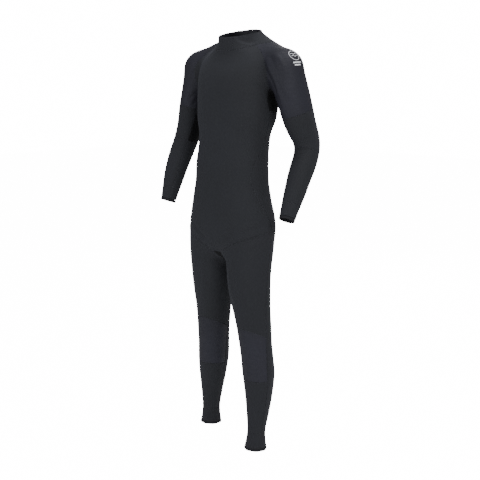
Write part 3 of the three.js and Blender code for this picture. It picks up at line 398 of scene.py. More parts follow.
def shoulder_seams(side):
    """Raglan and upper side seams, front and back, through their guide points."""
    found = {}
    for name, angle, guides, guide, gusset in (
        ("front", RAGLAN_FRONT, RAGLAN_FRONT_GUIDES, UNDERARM_FRONT_GUIDE, GUSSET_FRONT),
        ("back", RAGLAN_BACK, RAGLAN_BACK_GUIDES, UNDERARM_BACK_GUIDE, GUSSET_BACK),
    ):
        rows, points = guided(side, [neck_z(angle), angle], guides, 6)
        end = points[6] * [side, 1, 1]
        low_rows, low_points = guided(side, gusset, np.array([guide, end], float), 2)
        found["raglan_" + name] = (rows, points)
        found["side_" + name] = (np.vstack([rows[6:], low_rows[1::-1]]),
                                 np.vstack([points[6:], low_points[1::-1]]))
    return found


SHOULDER_SEAMS = {side: shoulder_seams(side) for _, side in SIDES}


def chained(*parts):
    """One edge from seams that follow each other: rows, and points where a seam brings its own."""
    rows, points = [], []
    for k, part in enumerate(parts):
        own = part if isinstance(part, tuple) else (part, np.full((len(part), 3), np.nan))
        rows.append(own[0][k > 0:])
        points.append(own[1][k > 0:])
    return np.vstack(rows), np.vstack(points)


def between(top, bottom, first, last):
    """Coons' rule: a grid filled between its four edges."""
    v = steps(len(first) - 1)[:, None, None]
    u = steps(len(top) - 1)[None, :, None]
    rails = mix(top[None], bottom[None], v) + mix(first[:, None], last[:, None], u)
    return rails - mix(mix(top[0], top[-1], u), mix(bottom[0], bottom[-1], u), v)


def torso_grid(top, bottom, first, last):
    """Body points of a Coons grid, with the seams' own points kept along its sides."""
    edges = [edge if isinstance(edge, tuple) else chained(edge) for edge in (first, last)]
    rows = between(top, bottom, edges[0][0], edges[1][0])
    rows[:, 0], rows[:, -1] = edges[0][0], edges[1][0]
    points = on_torso(rows)
    for column, (_, own) in zip((0, -1), edges):
        given = ~np.isnan(own[:, 0])
        points[given, column] = own[given]
    return points


# ---- Guide grids of the panels ----

def front_grid():
    """Neck to crotch between the two front raglan and side seams."""
    edge = [chained(SHOULDER_SEAMS[s]["raglan_front"], SHOULDER_SEAMS[s]["side_front"],
                    mirrored(SIDE_FRONT_UPPER, s), mirrored(SIDE_FRONT_LOWER, s)) for s in (RIGHT, LEFT)]
    bottom = np.vstack([mirrored(GROIN, RIGHT), [[CROTCH_FRONT[0], 0]], GROIN[::-1]])
    return torso_grid(neck_seam(-RAGLAN_FRONT, RAGLAN_FRONT, NECK_FRONT_STEPS), bottom, *edge)


def back_grid(side):
    """Neck to waist between the zip's slot and the back raglan and side seams."""
    seams = SHOULDER_SEAMS[side]
    outer = chained(seams["raglan_back"], seams["side_back"],
                    mirrored(SIDE_BACK_UPPER, side), mirrored(SIDE_BACK_LOWER, side))
    z = mix(neck_z(180), LUMBAR_Z, steps(len(outer[0]) - 1))
    slot = rows_of(z, slot_angle(z))
    top = neck_seam(RAGLAN_BACK, slot_angle(neck_z(180)), BACK_STEPS)
    top[-1] = slot[0]
    bottom = lumbar_seam(side * outer[0][-1, 1], slot_angle(LUMBAR_Z), BACK_STEPS)
    return torso_grid(mirrored(top, side), mirrored(bottom, side), outer, mirrored(slot, side))


def around_back(rows):
    """Rows of the left half carried round the back to the right half."""
    return rows * [1, -1] + [0, 360]


def seat_grid():
    """Waist to crotch across the back, side seam to side seam."""
    half = lumbar_seam(SEAT_SIDE[0, 1], slot_angle(LUMBAR_Z), BACK_STEPS)
    top, bottom = (np.vstack([rows, [[z, 180]], around_back(rows)[::-1]])
                   for rows, z in ((half, LUMBAR_Z), (GLUTEAL, CROTCH_BACK[0])))
    return torso_grid(top, bottom, SEAT_SIDE, around_back(SEAT_SIDE))


def side_grids(side):
    """Upper and lower side panels, parted by the seam that swings round the waist."""
    hip = rows_of(HIP_POINT[0], mix(HIP_POINT[1], HIP_BACK[1], steps(4)))
    back = np.vstack([SIDE_BACK_LOWER, SEAT_SIDE[1:]])
    upper = (GUSSET_BOTTOM, WAIST_SWING, SIDE_FRONT_UPPER, SIDE_BACK_UPPER)
    lower = (WAIST_SWING, hip, SIDE_FRONT_LOWER, back)
    return [torso_grid(*(mirrored(edge, side) for edge in edges)) for edges in (upper, lower)]


def armpit_seam(side):
    """A curve under the arm from the front raglan seam to the back one."""
    seams = SHOULDER_SEAMS[side]
    middle = np.array(ARMPIT) * [side, 1, 1]
    path = np.array([seams["raglan_front"][1][6], middle, seams["raglan_back"][1][6]])
    points = curve_through(path, steps(2 * UNDER) * 2)
    points[1:-1] = settled(points[1:-1], 12)
    return points


def raglan_loop(side):
    """The closed line where the sleeve meets the suit: armpit, front, neck and back."""
    armpit = armpit_seam(side)
    front, back = (SHOULDER_SEAMS[side][name][1] for name in ("raglan_front", "raglan_back"))
    neck = on_torso(mirrored(neck_seam(RAGLAN_FRONT, RAGLAN_BACK, SHOULDER_STEPS), side))[1:-1]
    return np.vstack([armpit[2::-1], front[-2::-1], neck, back[:-1], armpit[:2:-1]])


def arm_ring(side, share, around):
    """A ring of arm points. Column 0 faces the body, and the ring runs forward first."""
    centre, _, out, front = arm_frame(side, share)
    turn = 2 * np.pi * steps(around)[:-1, None]
    return leaves(centre, -np.cos(turn) * out + np.sin(turn) * front)


def upper_sleeve_rings(side):
    """Rings from the raglan loop to the elbow: quadratic Bezier paths to the first arm ring, then arm
    rings."""
    loop = raglan_loop(side)
    around = len(loop)
    ring = arm_ring(side, SHOULDER_END, around)
    down = arm_frame(side, SHOULDER_END)[1]
    corner = ring + ((loop - ring) * down).sum(1, keepdims=True) * down
    top = (1 - np.cos(2 * np.pi * steps(around)[:-1, None])) / 2
    guide = mix(mix(loop, ring, 0.5), corner, top)
    column = np.arange(around)
    under = (np.minimum(column, around - column) < UNDER)[:, None]
    rings = [loop]
    for t in steps(SHOULDER_ROWS)[1:-1]:
        near = (1 - t) ** 2 * loop + 2 * t * (1 - t) * guide + t**2 * ring
        centre = arm_frame(side, arm_share(side, near))[0]
        rings.append(np.where(under, settled(near, 12), leaves(centre, near - centre)))
    shares = mix(SHOULDER_END, ELBOW, steps(SLEEVE_ROWS)[1:])
    return np.array(rings + [ring] + [arm_ring(side, share, around) for share in shares])


def columns(rings, start, count):
    """Neighbouring columns of closed rings, counted past the end and round again."""
    return rings[:, (start + np.arange(count + 1)) % rings.shape[1]]


def leg_centre(side, z):
    return np.array([along(LEG_PATH[side], z, 1), along(LEG_PATH[side], z, 2), z])


def leg_loop(side):
    """The seam round the top of a leg, from the hip point round the front and the crotch."""
    front = on_torso(mirrored(GROIN, side))
    back = on_torso(mirrored(GLUTEAL, side))[::-1]
    heart = np.array([side * 84.0, 0, 724])
    t = steps(INSEAM_STEPS)
    low = np.sin(np.pi * t)
    target = rows_of(side * mix(CROTCH_WIDTH, 10, low), mix(front[-1, 1], back[0, 1], t), mix(694, 660, low))
    return np.vstack([front, leaves(heart, target - heart)[1:-1], back[:-1]])


def leg_ring(side, z, slope=0.0):
    """A ring of leg points in one plane, which rises toward the front by a slope."""
    turn = np.radians(OUTSEAM - 360 * steps(LEG_AROUND)[:-1])
    ray = rows_of(side * np.sin(turn), -np.cos(turn), slope * np.cos(turn))
    return leaves(leg_centre(side, z), ray)


def thigh_rings(side):
    loop, knee = leg_loop(side), leg_ring(side, KNEE_Z, KNEE_SLOPE)
    heart, end = np.array([side * 84.0, 0, 724]), leg_centre(side, KNEE_Z)
    rings = [loop]
    for t in steps(THIGH_ROWS)[1:-1]:
        centre = mix(heart, leg_centre(side, mix(heart[2], KNEE_Z, t)), min(1, 4 * t))
        ray = mix(unit(loop - heart), unit(knee - end), t * t * (3 - 2 * t))
        rings.append(leaves(centre, ray))
    return np.array(rings + [knee])


def leg_rings(side, top, bottom, count, slope=0.0):
    return np.array([leg_ring(side, mix(top, bottom, t), slope * (1 - t)) for t in steps(count)])


def crotch_grid():
    edges = [leg_loop(s)[GROIN_STEPS:GROIN_STEPS + INSEAM_STEPS + 1] for s in (LEFT, RIGHT)]
    y = (edges[0][:, 1] + edges[1][:, 1]) / 2
    middle = leaves(rows_of(0, y, 707), rows_of(0 * y, 0, -1))
    z = edges[0][[0, -1], 2]
    middle[[0, -1]] = on_torso([[z[0], 0], [z[1], 180]])
    halves = []
    for edge in edges:
        origin = rows_of(0, edge[:, 1], 700)
        half = leaves(origin, mix(middle, edge, 0.5) - origin)
        side = np.sign(edge[0, 0])
        half[[0, -1]] = on_torso([[z[0], side * 7.5], [z[1], side * 172.5]])
        halves.append(half)
    return np.stack([edges[0], halves[0], middle, halves[1], edges[1]], 1)


def gusset_grid(side):
    seams = SHOULDER_SEAMS[side]
    bottom = on_torso(mirrored(GUSSET_BOTTOM, side))
    grid = between(armpit_seam(side), bottom, seams["side_front"][1], seams["side_back"][1])
    grid[1:-1, 1:-1] = settled(grid[1:-1, 1:-1], 12)
    return grid


def collar_height(degrees):
    return mix(COLLAR_FRONT_HEIGHT, COLLAR_BACK_HEIGHT, (1 - np.cos(np.radians(degrees))) / 2)


NECK_RING = np.vstack([
    mirrored(neck_seam(slot_angle(neck_z(180)), RAGLAN_BACK, BACK_STEPS), RIGHT),
    mirrored(neck_seam(RAGLAN_BACK, RAGLAN_FRONT, SHOULDER_STEPS), RIGHT)[1:],
    neck_seam(-RAGLAN_FRONT, RAGLAN_FRONT, NECK_FRONT_STEPS)[1:],
    neck_seam(RAGLAN_FRONT, RAGLAN_BACK, SHOULDER_STEPS)[1:],
    neck_seam(RAGLAN_BACK, slot_angle(neck_z(180)), BACK_STEPS)[1:],
])
COLLAR_JOIN_COLUMN = BACK_STEPS + SHOULDER_STEPS + COLLAR_JOIN


def collar_grid(rows):
    rise = steps(3)[:, None] * collar_height(rows[:, 1])
    return on_torso(rows_of(rows[:, 0] + rise, rows[:, 1]))


# ---- Folds ----

# Creases of the worn foam: guide points, depth, width. A negative depth is a ridge.
FOLD_DEPTH = 1.35  # how much deeper than their listed depths the creases are worn in


def creases():
    found = [
        # the groin and the crotch
        ([[26, -96, 728], [70, -100, 764], [118, -92, 792]], 1.6, 9),
        ([[-26, -96, 728], [-70, -100, 764], [-118, -92, 792]], 1.6, 9),
        ([[22, -88, 708], [60, -100, 722], [92, -104, 742]], 1.1, 8),
        ([[-22, -88, 708], [-60, -100, 722], [-92, -104, 742]], 1.1, 8),
        ([[0, -108, 770], [2, -104, 735], [0, -96, 700]], 1.0, 8),
        # diagonal pulls over the hips
        ([[96, -78, 760], [130, -48, 782], [158, -10, 792]], 1.5, 8),
        ([[104, -70, 736], [136, -40, 752], [160, 0, 758]], 1.2, 8),
        ([[110, -60, 700], [134, -34, 712], [152, 2, 722]], 1.0, 7),
        ([[-96, -78, 760], [-130, -48, 782], [-158, -10, 792]], 1.4, 8),
        # below the seat
        ([[30, 96, 712], [90, 96, 722], [140, 70, 736]], 1.9, 9),
        ([[-30, 96, 712], [-90, 96, 722], [-140, 70, 736]], 1.9, 9),
        # long soft drape lines down the thighs
        ([[66, -92, 690], [72, -94, 600], [90, -88, 510]], -1.3, 9),
        ([[112, -84, 680], [118, -84, 600], [128, -74, 520]], -1.2, 9),
        ([[92, -90, 660], [100, -90, 580], [112, -82, 500]], 1.0, 9),
        ([[-70, -74, 680], [-76, -70, 590], [-92, -56, 500]], -1.2, 9),
        # folds that run down the left calf from the knee panel
        ([[166, -52, 338], [172, -48, 300], [172, -46, 262]], -1.5, 5),
        ([[176, -40, 330], [182, -32, 290], [182, -30, 250]], -1.3, 5),
        ([[150, -66, 350], [168, -54, 338], [184, -34, 326]], 1.5, 6),
        ([[156, -62, 326], [172, -48, 320], [186, -26, 314]], 1.1, 6),
        # the left shoulder panel ripples where the raised collar bone pulls it
        ([[150, -8, 1356], [176, -14, 1326], [196, -14, 1290]], -1.8, 8),
        ([[166, -2, 1366], [196, -6, 1334], [216, -4, 1292]], 1.6, 7),
        ([[184, 4, 1372], [214, 4, 1340], [232, 10, 1300]], -1.3, 7),
        ([[160, -14, 1320], [186, -14, 1280], [206, -8, 1236]], 1.5, 8),
        ([[186, -10, 1300], [208, -6, 1256], [222, 6, 1206]], -1.4, 7),
        ([[204, -4, 1280], [226, 6, 1236], [238, 20, 1196]], 1.1, 6),
        # and the right one, more softly
        ([[-150, -10, 1340], [-176, -12, 1310], [-196, -6, 1270]], 1.1, 8),
        ([[-160, -6, 1360], [-190, -8, 1330], [-212, 0, 1290]], -1.1, 8),
    ]
    for _, side in SIDES:
        elbow, down, out, front = (a[0] for a in arm_frame(side, ELBOW))
        for k, depth in ((-2, 1.0), (-1, 1.6), (0, 2.4), (1, 1.6), (2, 1.0)):
            middle = elbow + 44 * front + 15 * k * down
            found.append(([middle - 34 * out - 12 * front, middle,
                           middle + 34 * out - 12 * front + 6 * k * down], depth, 6))
        knee = leg_centre(side, KNEE_Z)
        for k, depth in ((-2, 1.1), (-1, 1.7), (0, 2.2), (1, 1.5), (2, 1.0)):
            middle = knee + [0, 54, -26 + 17 * k]
            found.append(([middle + [-36, -14, 4 * k], middle, middle + [36, -14, -3 * k]], depth, 6.5))
        # folds from the armpit over the upper arm and the chest
        pit = np.array([side * 158.0, 0, 1236])
        found += [([pit, pit + [side * 18, -14, -12], pit + [side * 36, -22, -32]], 1.5, 7),
                  ([pit + [0, 6, -8], pit + [side * 16, -4, -30], pit + [side * 30, -10, -56]], 1.2, 7),
                  ([pit + [side * -6, 0, 10], pit + [side * -20, -20, 22],
                    pit + [side * -36, -34, 30]], 1.2, 8)]
        # the small of the back, the waist and the side
        found += [([[side * 30, 98, 1010], [side * 90, 92, 1018], [side * 128, 60, 1035]], 1.3, 10),
                  ([[side * 34, 97, 972], [side * 96, 88, 978], [side * 132, 52, 990]], 1.1, 10),
                  ([[side * 124, -40, 1010], [side * 134, 0, 1000], [side * 134, 40, 1004]], 1.0, 9)]
        ankle = leg_centre(side, 80)
        found += [([ankle + [-26, -20, 0], ankle + [0, -32, 4], ankle + [26, -20, 8]], 1.0, 5),
                  ([ankle + [-24, 26, 26], ankle + [0, 38, 20], ankle + [24, 26, 12]], 1.1, 5)]
    shares = np.linspace(0, 2, 9)
    return [(settled(curve_through(np.array(guide, float), shares)), depth, width)
            for guide, depth, width in found]


CREASES = creases()
# The collar folds inward above this line on the left of its front: [angle, height].
COLLAR_FOLD = np.array([[26, 1432], [34, 1413], [52, 1401], [68, 1396], [82, 1399], [98, 1409], [112, 1424]])


def collar_fold(x, y, z):
    """A soft lip along the fold line, and the cloth above it leaning in."""
    angle = np.degrees(np.arctan2(x, along(TORSO, z, 2) - y))
    above = z - along(COLLAR_FOLD, angle, 1)
    share = (np.clip((angle - 26) / 14, 0, 1) * np.clip((116 - angle) / 14, 0, 1)
             * (z > 1385) * (np.abs(x) < 82))
    lean = np.clip(above / 16, 0, 1)
    return share * (2.4 * np.exp(-(above / 3.5) ** 2) - 5.5 * lean * lean * (3 - 2 * lean))


def relief(p):
    """Height of folds over the plain body: Gaussian creases with raised lips, and a slow unevenness."""
    x, y, z = np.moveaxis(p, -1, 0)
    height = 0.35 * np.sin(x / 31 + y / 47) * np.sin(z / 43 + 0.8) + 0.25 * np.sin(z / 23 - x / 37 + y / 29)
    for path, depth, width in CREASES:
        near = ((p > path.min(0) - 3 * width) & (p < path.max(0) + 3 * width)).all(-1)
        if near.any():
            away = p[near][:, None] - path[:-1]
            span = np.diff(path, axis=0)
            t = np.clip((away * span).sum(-1) / (span**2).sum(-1), 0, 1)
            far = np.linalg.norm(away - t[..., None] * span, axis=-1)
            nearest = far.argmin(1)
            row = np.arange(len(far))
            across, run = far[row, nearest], (nearest + t[row, nearest]) / len(span)
            taper = np.sin(np.pi * np.clip(run, 0.0, 1.0)) ** 0.7
            lips = np.exp(-(((across - 1.7 * width) / width) ** 2))
            height[near] += FOLD_DEPTH * depth * taper * (0.45 * lips - np.exp(-((across / width) ** 2)))
    # a slight ripple where the ankle bands end free
    side = np.where(x > 0, LEFT, RIGHT)
    centre = np.where((x > 0)[..., None], leg_centre(LEFT, 0), leg_centre(RIGHT, 0))
    turn = np.arctan2(y - centre[..., 1], x - centre[..., 0])
    ripple = 0.9 * np.sin(7 * turn + side) * np.exp(-np.maximum(z, 0) / 16)
    return height + ripple + collar_fold(x, y, z)


# ---- Meshes ----

def put(name, points, faces, material, uv=None):
    """A mesh piece from points in millimetres and arrays of faces, turned to face outwards."""
    triangles = np.vstack([f[:, [0, k, k + 1]] for f in faces for k in range(1, f.shape[1] - 1)])
    a, b, c = (points[triangles[:, k]] for k in range(3))
    if (a * np.cross(b, c)).sum() < 0:
        faces = [f[:, ::-1] for f in faces]
    mesh = bpy.data.meshes.new(name)
    mesh.vertices.add(len(points))
    mesh.vertices.foreach_set("co", (points * MM).astype(np.float32).ravel())
    corners = np.concatenate([f.ravel() for f in faces]).astype(np.int32)
    sizes = np.concatenate([np.full(len(f), f.shape[1]) for f in faces])
    mesh.loops.add(len(corners))
    mesh.loops.foreach_set("vertex_index", corners)
    mesh.polygons.add(len(sizes))
    mesh.polygons.foreach_set("loop_start", np.concatenate([[0], np.cumsum(sizes)[:-1]]).astype(np.int32))
    if uv is not None:
        mesh.uv_layers.new(name="cloth").data.foreach_set("uv", uv[corners].astype(np.float32).ravel())
    mesh.update(calc_edges=True)
    mesh.shade_smooth()
    mesh.set_sharp_from_angle(angle=np.radians(55))
    mesh.materials.append(material)
    piece = bpy.data.objects.new(name, mesh)
    bpy.context.scene.collection.objects.link(piece)
    return piece


def grid_faces(rows, across, closed=False, start=0):
    c = np.arange(across if closed else across - 1)
    a = np.arange(rows - 1)[:, None] * across + c
    b = np.arange(rows - 1)[:, None] * across + (c + 1) % across
    return start + np.stack([a, b, b + across, a + across], -1).reshape(-1, 4)


def wall_faces(rows, across, closed):
    """Faces of a wall whose outer and inner grids follow each other in one list of points."""
    under = rows * across
    index = np.arange(under).reshape(rows, across)
    outer = grid_faces(rows, across, closed)
    if closed:
        rims = [np.append(index[0], index[0, 0])[::-1], np.append(index[-1], index[-1, 0])]
    else:
        ring = np.concatenate([index[0, :-1], index[:-1, -1], index[-1, :0:-1],
                               index[:0:-1, 0], index[0, :1]])
        rims = [ring[::-1]]
    sides = [np.stack([r[:-1], r[1:], r[1:] + under, r[:-1] + under], -1) for r in rims]
    return [np.vstack([outer, outer[:, ::-1] + under] + sides)]


def spline_weights(count, at, closed):
    """Weights of a uniform Catmull-Rom spline over count guide points, one row for each position."""
    i = np.clip(np.floor(at).astype(int), 0, count - (1 if closed else 2))
    w = at - i
    basis = [(-w + 2 * w**2 - w**3) / 2, (2 - 5 * w**2 + 3 * w**3) / 2,
             (w + 4 * w**2 - 3 * w**3) / 2, (w**3 - w**2) / 2]
    weights = np.zeros((len(at), count))
    row = np.arange(len(at))
    for k, part in zip((-1, 0, 1, 2), basis):
        j = i + k
        if closed:
            np.add.at(weights, (row, j % count), part)
            continue
        np.add.at(weights, (row, np.clip(j, 0, count - 1)), part)
        for outside, end, step in ((j < 0, 0, 1), (j >= count, count - 1, -1)):
            np.add.at(weights, (row[outside], end), part[outside])
            np.add.at(weights, (row[outside], end + step), -part[outside])
    return weights


def run_lengths(points, axis):
    """Distance run along an axis of a grid, from its first line."""
    leap = np.linalg.norm(np.diff(points, axis=axis), axis=-1)
    pad = [(0, 0), (0, 0)]
    pad[axis] = (1, 0)
    return np.cumsum(np.pad(leap, pad), axis=axis)


def cut_shares(length):
    """Shares of a length: even cells, with the lines that round the edges at both ends."""
    edge = EDGE_LINES / length
    inner = np.linspace(2 * edge[-1] - edge[-2], 1 - 2 * edge[-1] + edge[-2], max(int(length / CELL), 2))
    return np.concatenate([edge, inner, 1 - edge[::-1]])


def surface(guide, closed=False):
    """A fine grid on the body from a guide grid, with its normals, runs and distance from the cut edges."""
    down = run_lengths(guide, 0)[-1].mean()
    loop = np.concatenate([guide, guide[:, :1]], 1) if closed else guide
    across = run_lengths(loop, 1)[:, -1].mean()
    v = cut_shares(down) * (len(guide) - 1)
    if closed:
        u = np.linspace(0, guide.shape[1], int(across / CELL) + 1)[:-1]
    else:
        u = cut_shares(across) * (guide.shape[1] - 1)
    weights = spline_weights(len(guide), v, False), spline_weights(guide.shape[1], u, closed)
    near = np.einsum("vr,rck,uc->vuk", weights[0], guide, weights[1])
    points = settled(near)
    runs = [run_lengths(points, 0), run_lengths(points, 1)]
    ends = runs if not closed else runs[:1]
    edge = np.min([np.minimum(r, r.max(axis, keepdims=True) - r) for axis, r in enumerate(ends)], axis=0)
    return points, outward(points), runs, edge + EDGE_LINES[0], (across, down)


def foam_panel(node, guide, material, closed=False, dip=SEAM_DIP, foam=FOAM):
    """A sheet of foam between its cut edges: the outer face follows the body with its folds and rolls down
    by dip * exp(-(d / roll)^2) near a cut edge, and the inner face lies one thickness below."""
    points, normal, runs, edge, size = surface(guide, closed)
    lift = relief(points) - dip * np.exp(-(edge / SEAM_ROLL) ** 2)
    outer = points + lift[..., None] * normal
    inner = points - foam * normal
    both = np.concatenate([outer.reshape(-1, 3), inner.reshape(-1, 3)])
    uv = np.tile(np.stack([runs[1], runs[0]], -1).reshape(-1, 2) * MM, (2, 1))
    piece = put(node + "_foam", both, wall_faces(*points.shape[:2], closed), material, uv)
    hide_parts(node)
    piece["size_mm"] = [float(s) for s in size]
    sides = [points[1:, 1:] - points[:-1, :-1], points[1:, :-1] - points[:-1, 1:]]
    piece["area_m2"] = float(np.linalg.norm(np.cross(*sides), axis=-1).sum() / 2 * MM**2)
    return piece


# ---- Sewing ----

def resampled(points, pitch):
    """Points at an even pitch along a polyline, drawn onto the body."""
    run = run_lengths(points[None], 1)[0]
    at = np.arange(pitch / 2, run[-1], pitch)
    return np.stack([np.interp(at, run, points[:, k]) for k in range(3)], -1)


def smooth_path(guide):
    at = np.linspace(0, len(guide) - 1, 12 * (len(guide) - 1) + 1)
    return settled(spline_weights(len(guide), at, False) @ guide)


def end_fans(many, last, tips):
    """Triangles that close a tube of many sides: its first ring and the ring at last, each to its own tip."""
    k = np.arange(many)
    n = (k + 1) % many
    first_tip, last_tip = (np.full(many, tip) for tip in tips)
    return np.vstack([np.stack([n, k, first_tip], -1), np.stack([k + last, n + last, last_tip], -1)])


def tubes(centre, across, up, radius, sides=5):
    """Closed tubes round many short paths at once: centre and axes are [tube, ring, 3] arrays."""
    many, rings = centre.shape[:2]
    turn = 2 * np.pi * steps(sides)[:-1]
    size = radius * np.sqrt(np.clip(1 - (2 * steps(rings - 1) - 1) ** 6, 0.15, 1))[:, None, None]
    round_ = np.cos(turn)[:, None] * across[:, :, None] + np.sin(turn)[:, None] * up[:, :, None]
    body = (centre[:, :, None] + size * round_).reshape(many, -1, 3)
    points = np.concatenate([body, centre[:, :1], centre[:, -1:]], 1)
    per = points.shape[1]
    wall = grid_faces(rings, sides, True)
    caps = end_fans(sides, (rings - 1) * sides, (per - 2, per - 1))
    shift = (np.arange(many) * per)[:, None, None]
    return points.reshape(-1, 3), [(wall + shift).reshape(-1, 4), (caps + shift).reshape(-1, 3)]


def path_axes(points):
    tangent = unit(np.gradient(points, axis=0))
    normal = outward(points)
    side = unit(np.cross(normal, tangent))
    return tangent, normal, side


def cross_stitches(guide, reach=2.3, pitch=1.9):
    """Slanted threads that bridge a glue line: each runs from one side to the other and dips at its ends."""
    points = resampled(smooth_path(guide), pitch)
    tangent, normal, side = path_axes(points)
    lean = np.where(np.arange(len(points)) % 2, 1.0, -1.0)[:, None, None] * 0.45 * pitch
    s = np.linspace(-1, 1, 5)[None, :, None]
    height = (relief(points)[:, None, None] + 0.15 - 0.75 * s**4
              - SEAM_DIP * np.exp(-(s * reach / SEAM_ROLL) ** 2) * 0.55)
    centre = (points[:, None] + s * reach * side[:, None] + s * lean * tangent[:, None]
              + height * normal[:, None])
    flat = np.broadcast_to(tangent[:, None], centre.shape)
    up = np.broadcast_to(normal[:, None], centre.shape)
    return tubes(centre, flat, up, THREAD)


def running_stitches(guide, shift=0.0, pitch=3.4, lift=0.15):
    """A row of separate stitches beside a seam, each a short arch along it that sinks at both ends."""
    path = smooth_path(guide)
    tangent, normal, side = path_axes(path)
    points = resampled(settled(path + shift * side), pitch)
    tangent, normal, side = path_axes(points)
    s = np.linspace(-1, 1, 5)[None, :, None]
    height = relief(points)[:, None, None] + lift - 0.7 * s**4
    centre = points[:, None] + s * 0.38 * pitch * tangent[:, None] + height * normal[:, None]
    across, up = (np.broadcast_to(axis[:, None], centre.shape) for axis in (side, normal))
    return tubes(centre, across, up, THREAD)


def gathered(name, parts, material):
    """One piece from several closed parts."""
    points, faces, start = [], [], 0
    for part_points, part_faces in parts:
        points.append(part_points)
        faces += [f + start for f in part_faces]
        start += len(part_points)
    return put(name, np.vstack(points), faces, material)


def sewn(name, parts, material):
    """One piece from many rows of stitches."""
    piece = gathered(name, parts, material)
    return piece


# ---- Materials ----

def node_group(name, inputs, outputs, build):
    group = bpy.data.node_groups.new(name, "ShaderNodeTree")
    for label, kind, value in inputs:
        socket = group.interface.new_socket(name=label, in_out="INPUT", socket_type="NodeSocket" + kind)
        if value is not None:
            socket.default_value = value
    for label, kind in outputs:
        group.interface.new_socket(name=label, in_out="OUTPUT", socket_type="NodeSocket" + kind)
    build(Nodes(group), group.nodes.new("NodeGroupInput").outputs, group.nodes.new("NodeGroupOutput").inputs)
    return group


class Nodes:
    """Adds nodes to a tree, setting sockets from values or linking them from other nodes' outputs."""

    def __init__(self, tree):
        self.tree = tree

    def add(self, kind, settings=None, **sockets):
        node = self.tree.nodes.new("ShaderNode" + kind)
        for key, value in (settings or {}).items():
            setattr(node, key, value)
        for key, value in sockets.items():
            socket = (node.inputs[int(key[1:])] if key[0] == "i" and key[1:].isdigit()
                      else node.inputs[key.replace("_", " ")])
            if isinstance(value, bpy.types.NodeSocket):
                self.tree.links.new(value, socket)
            else:
                socket.default_value = value
        return node.outputs

    def math(self, operation, a, b=0.0, clamp=False):
        return self.add("Math", {"operation": operation, "use_clamp": clamp}, i0=a, i1=b)[0]

    def noise(self, vector, scale, detail=3.0, roughness=0.55):
        return self.add("TexNoise", None, Vector=vector, Scale=scale, Detail=detail, Roughness=roughness)[0]

    def blend(self, factor, a, b):
        outputs = self.add("Mix", {"data_type": "RGBA"}, i0=factor, i6=a, i7=b)
        return outputs[2]

    def ranged(self, value, low, high, to_low, to_high):
        return self.add("MapRange", None, Value=value, From_Min=low, From_Max=high,
                        To_Min=to_low, To_Max=to_high)[0]


def build_knit(n, given, out):
    """Rows of knitted loops: ribs one way and half-turned courses the other, as a height from 0 to 1."""
    parts = n.add("SeparateXYZ", None, Vector=given["Cloth"])
    pitch = given["Pitch"]
    ribs = n.math("SINE", n.math("MULTIPLY", n.math("DIVIDE", parts[0], pitch), 6.2832))
    sway = n.math("MULTIPLY", ribs, 0.25)
    courses = n.math("SINE", n.math("MULTIPLY",
                                    n.math("ADD", n.math("DIVIDE", parts[1], pitch), sway), 6.2832))
    loops = n.math("MULTIPLY", n.math("ADD", n.math("MULTIPLY", ribs, courses), 1.0), 0.5)
    fuzz = n.noise(given["Place"], 1900.0, 2.0)
    height = n.math("ADD", n.math("MULTIPLY", loops, 0.6), n.math("MULTIPLY", fuzz, 0.4))
    n.tree.links.new(height, out["Height"])


def build_tone(n, given, out):
    """The cloth's colour: slow clouds, a fine heather, and a painted pale bluish sheen in patches where the
    cloth faces up, standing in for light from above.
    """
    slow = n.ranged(n.noise(given["Place"], 3.2, 4.0), 0.32, 0.68, 0.0, 1.0)
    fine = n.ranged(n.noise(given["Place"], 420.0, 2.0, 0.7), 0.3, 0.7, 0.0, 1.0)
    amount = n.math("ADD", n.math("MULTIPLY", slow, 0.65), n.math("MULTIPLY", fine, 0.35))
    cloth = n.blend(amount, given["Dark"], given["Light"])
    # painted sheen: a pale bluish grey blended in, in noisy patches, the more the cloth faces up, as light
    # from above would fall
    facing = n.add("SeparateXYZ", None, Vector=n.add("NewGeometry")[1])[2]
    sheen_patches = n.ranged(n.noise(given["Place"], 160.0, 5.0, 0.8), 0.62, 0.8, 0.0, 1.0)
    dust = n.math("MULTIPLY", n.math("MULTIPLY", n.math("MAXIMUM", facing, 0.15), sheen_patches), given["Dust"])
    n.tree.links.new(n.blend(dust, cloth, (0.32, 0.32, 0.34, 1)), out["Colour"])
    n.tree.links.new(slow, out["Cloud"])


KNIT = node_group("Knitted loops",
                  [("Cloth", "Vector", None), ("Place", "Vector", None), ("Pitch", "Float", 0.0009)],
                  [("Height", "Float")], build_knit)
TONE = node_group("Cloth tone",
                  [("Place", "Vector", None), ("Dark", "Color", (0, 0, 0, 1)),
                   ("Light", "Color", (0, 0, 0, 1)), ("Dust", "Float", 0.1)],
                  [("Colour", "Color"), ("Cloud", "Float")], build_tone)


def srgb(r, g, b):
    c = np.array([r, g, b]) / 255
    return (*np.where(c <= 0.04045, c / 12.92, ((c + 0.055) / 1.055) ** 2.4), 1.0)


def material(name, build, roughness=0.8, metallic=0.0, specular=0.3, **fixed):
    """A material whose build gives colour, roughness or None, height, bump strength and depth."""
    made = bpy.data.materials.new(name)
    made.use_nodes = True
    n = Nodes(made.node_tree)
    shader = made.node_tree.nodes["Principled BSDF"]
    shader.inputs["Roughness"].default_value = roughness
    shader.inputs["Metallic"].default_value = metallic
    shader.inputs["Specular IOR Level"].default_value = specular
    for key, value in fixed.items():
        shader.inputs[key.replace("_", " ")].default_value = value
    coordinates = n.add("TexCoord")
    colour, rough, height, strength, depth = build(n, coordinates["Object"], coordinates["UV"])
    made.node_tree.links.new(colour, shader.inputs["Base Color"])
    if rough is not None:
        made.node_tree.links.new(rough, shader.inputs["Roughness"])
    bump = n.add("Bump", None, Strength=strength, Distance=depth, Height=height)[0]
    made.node_tree.links.new(bump, shader.inputs["Normal"])
    return made
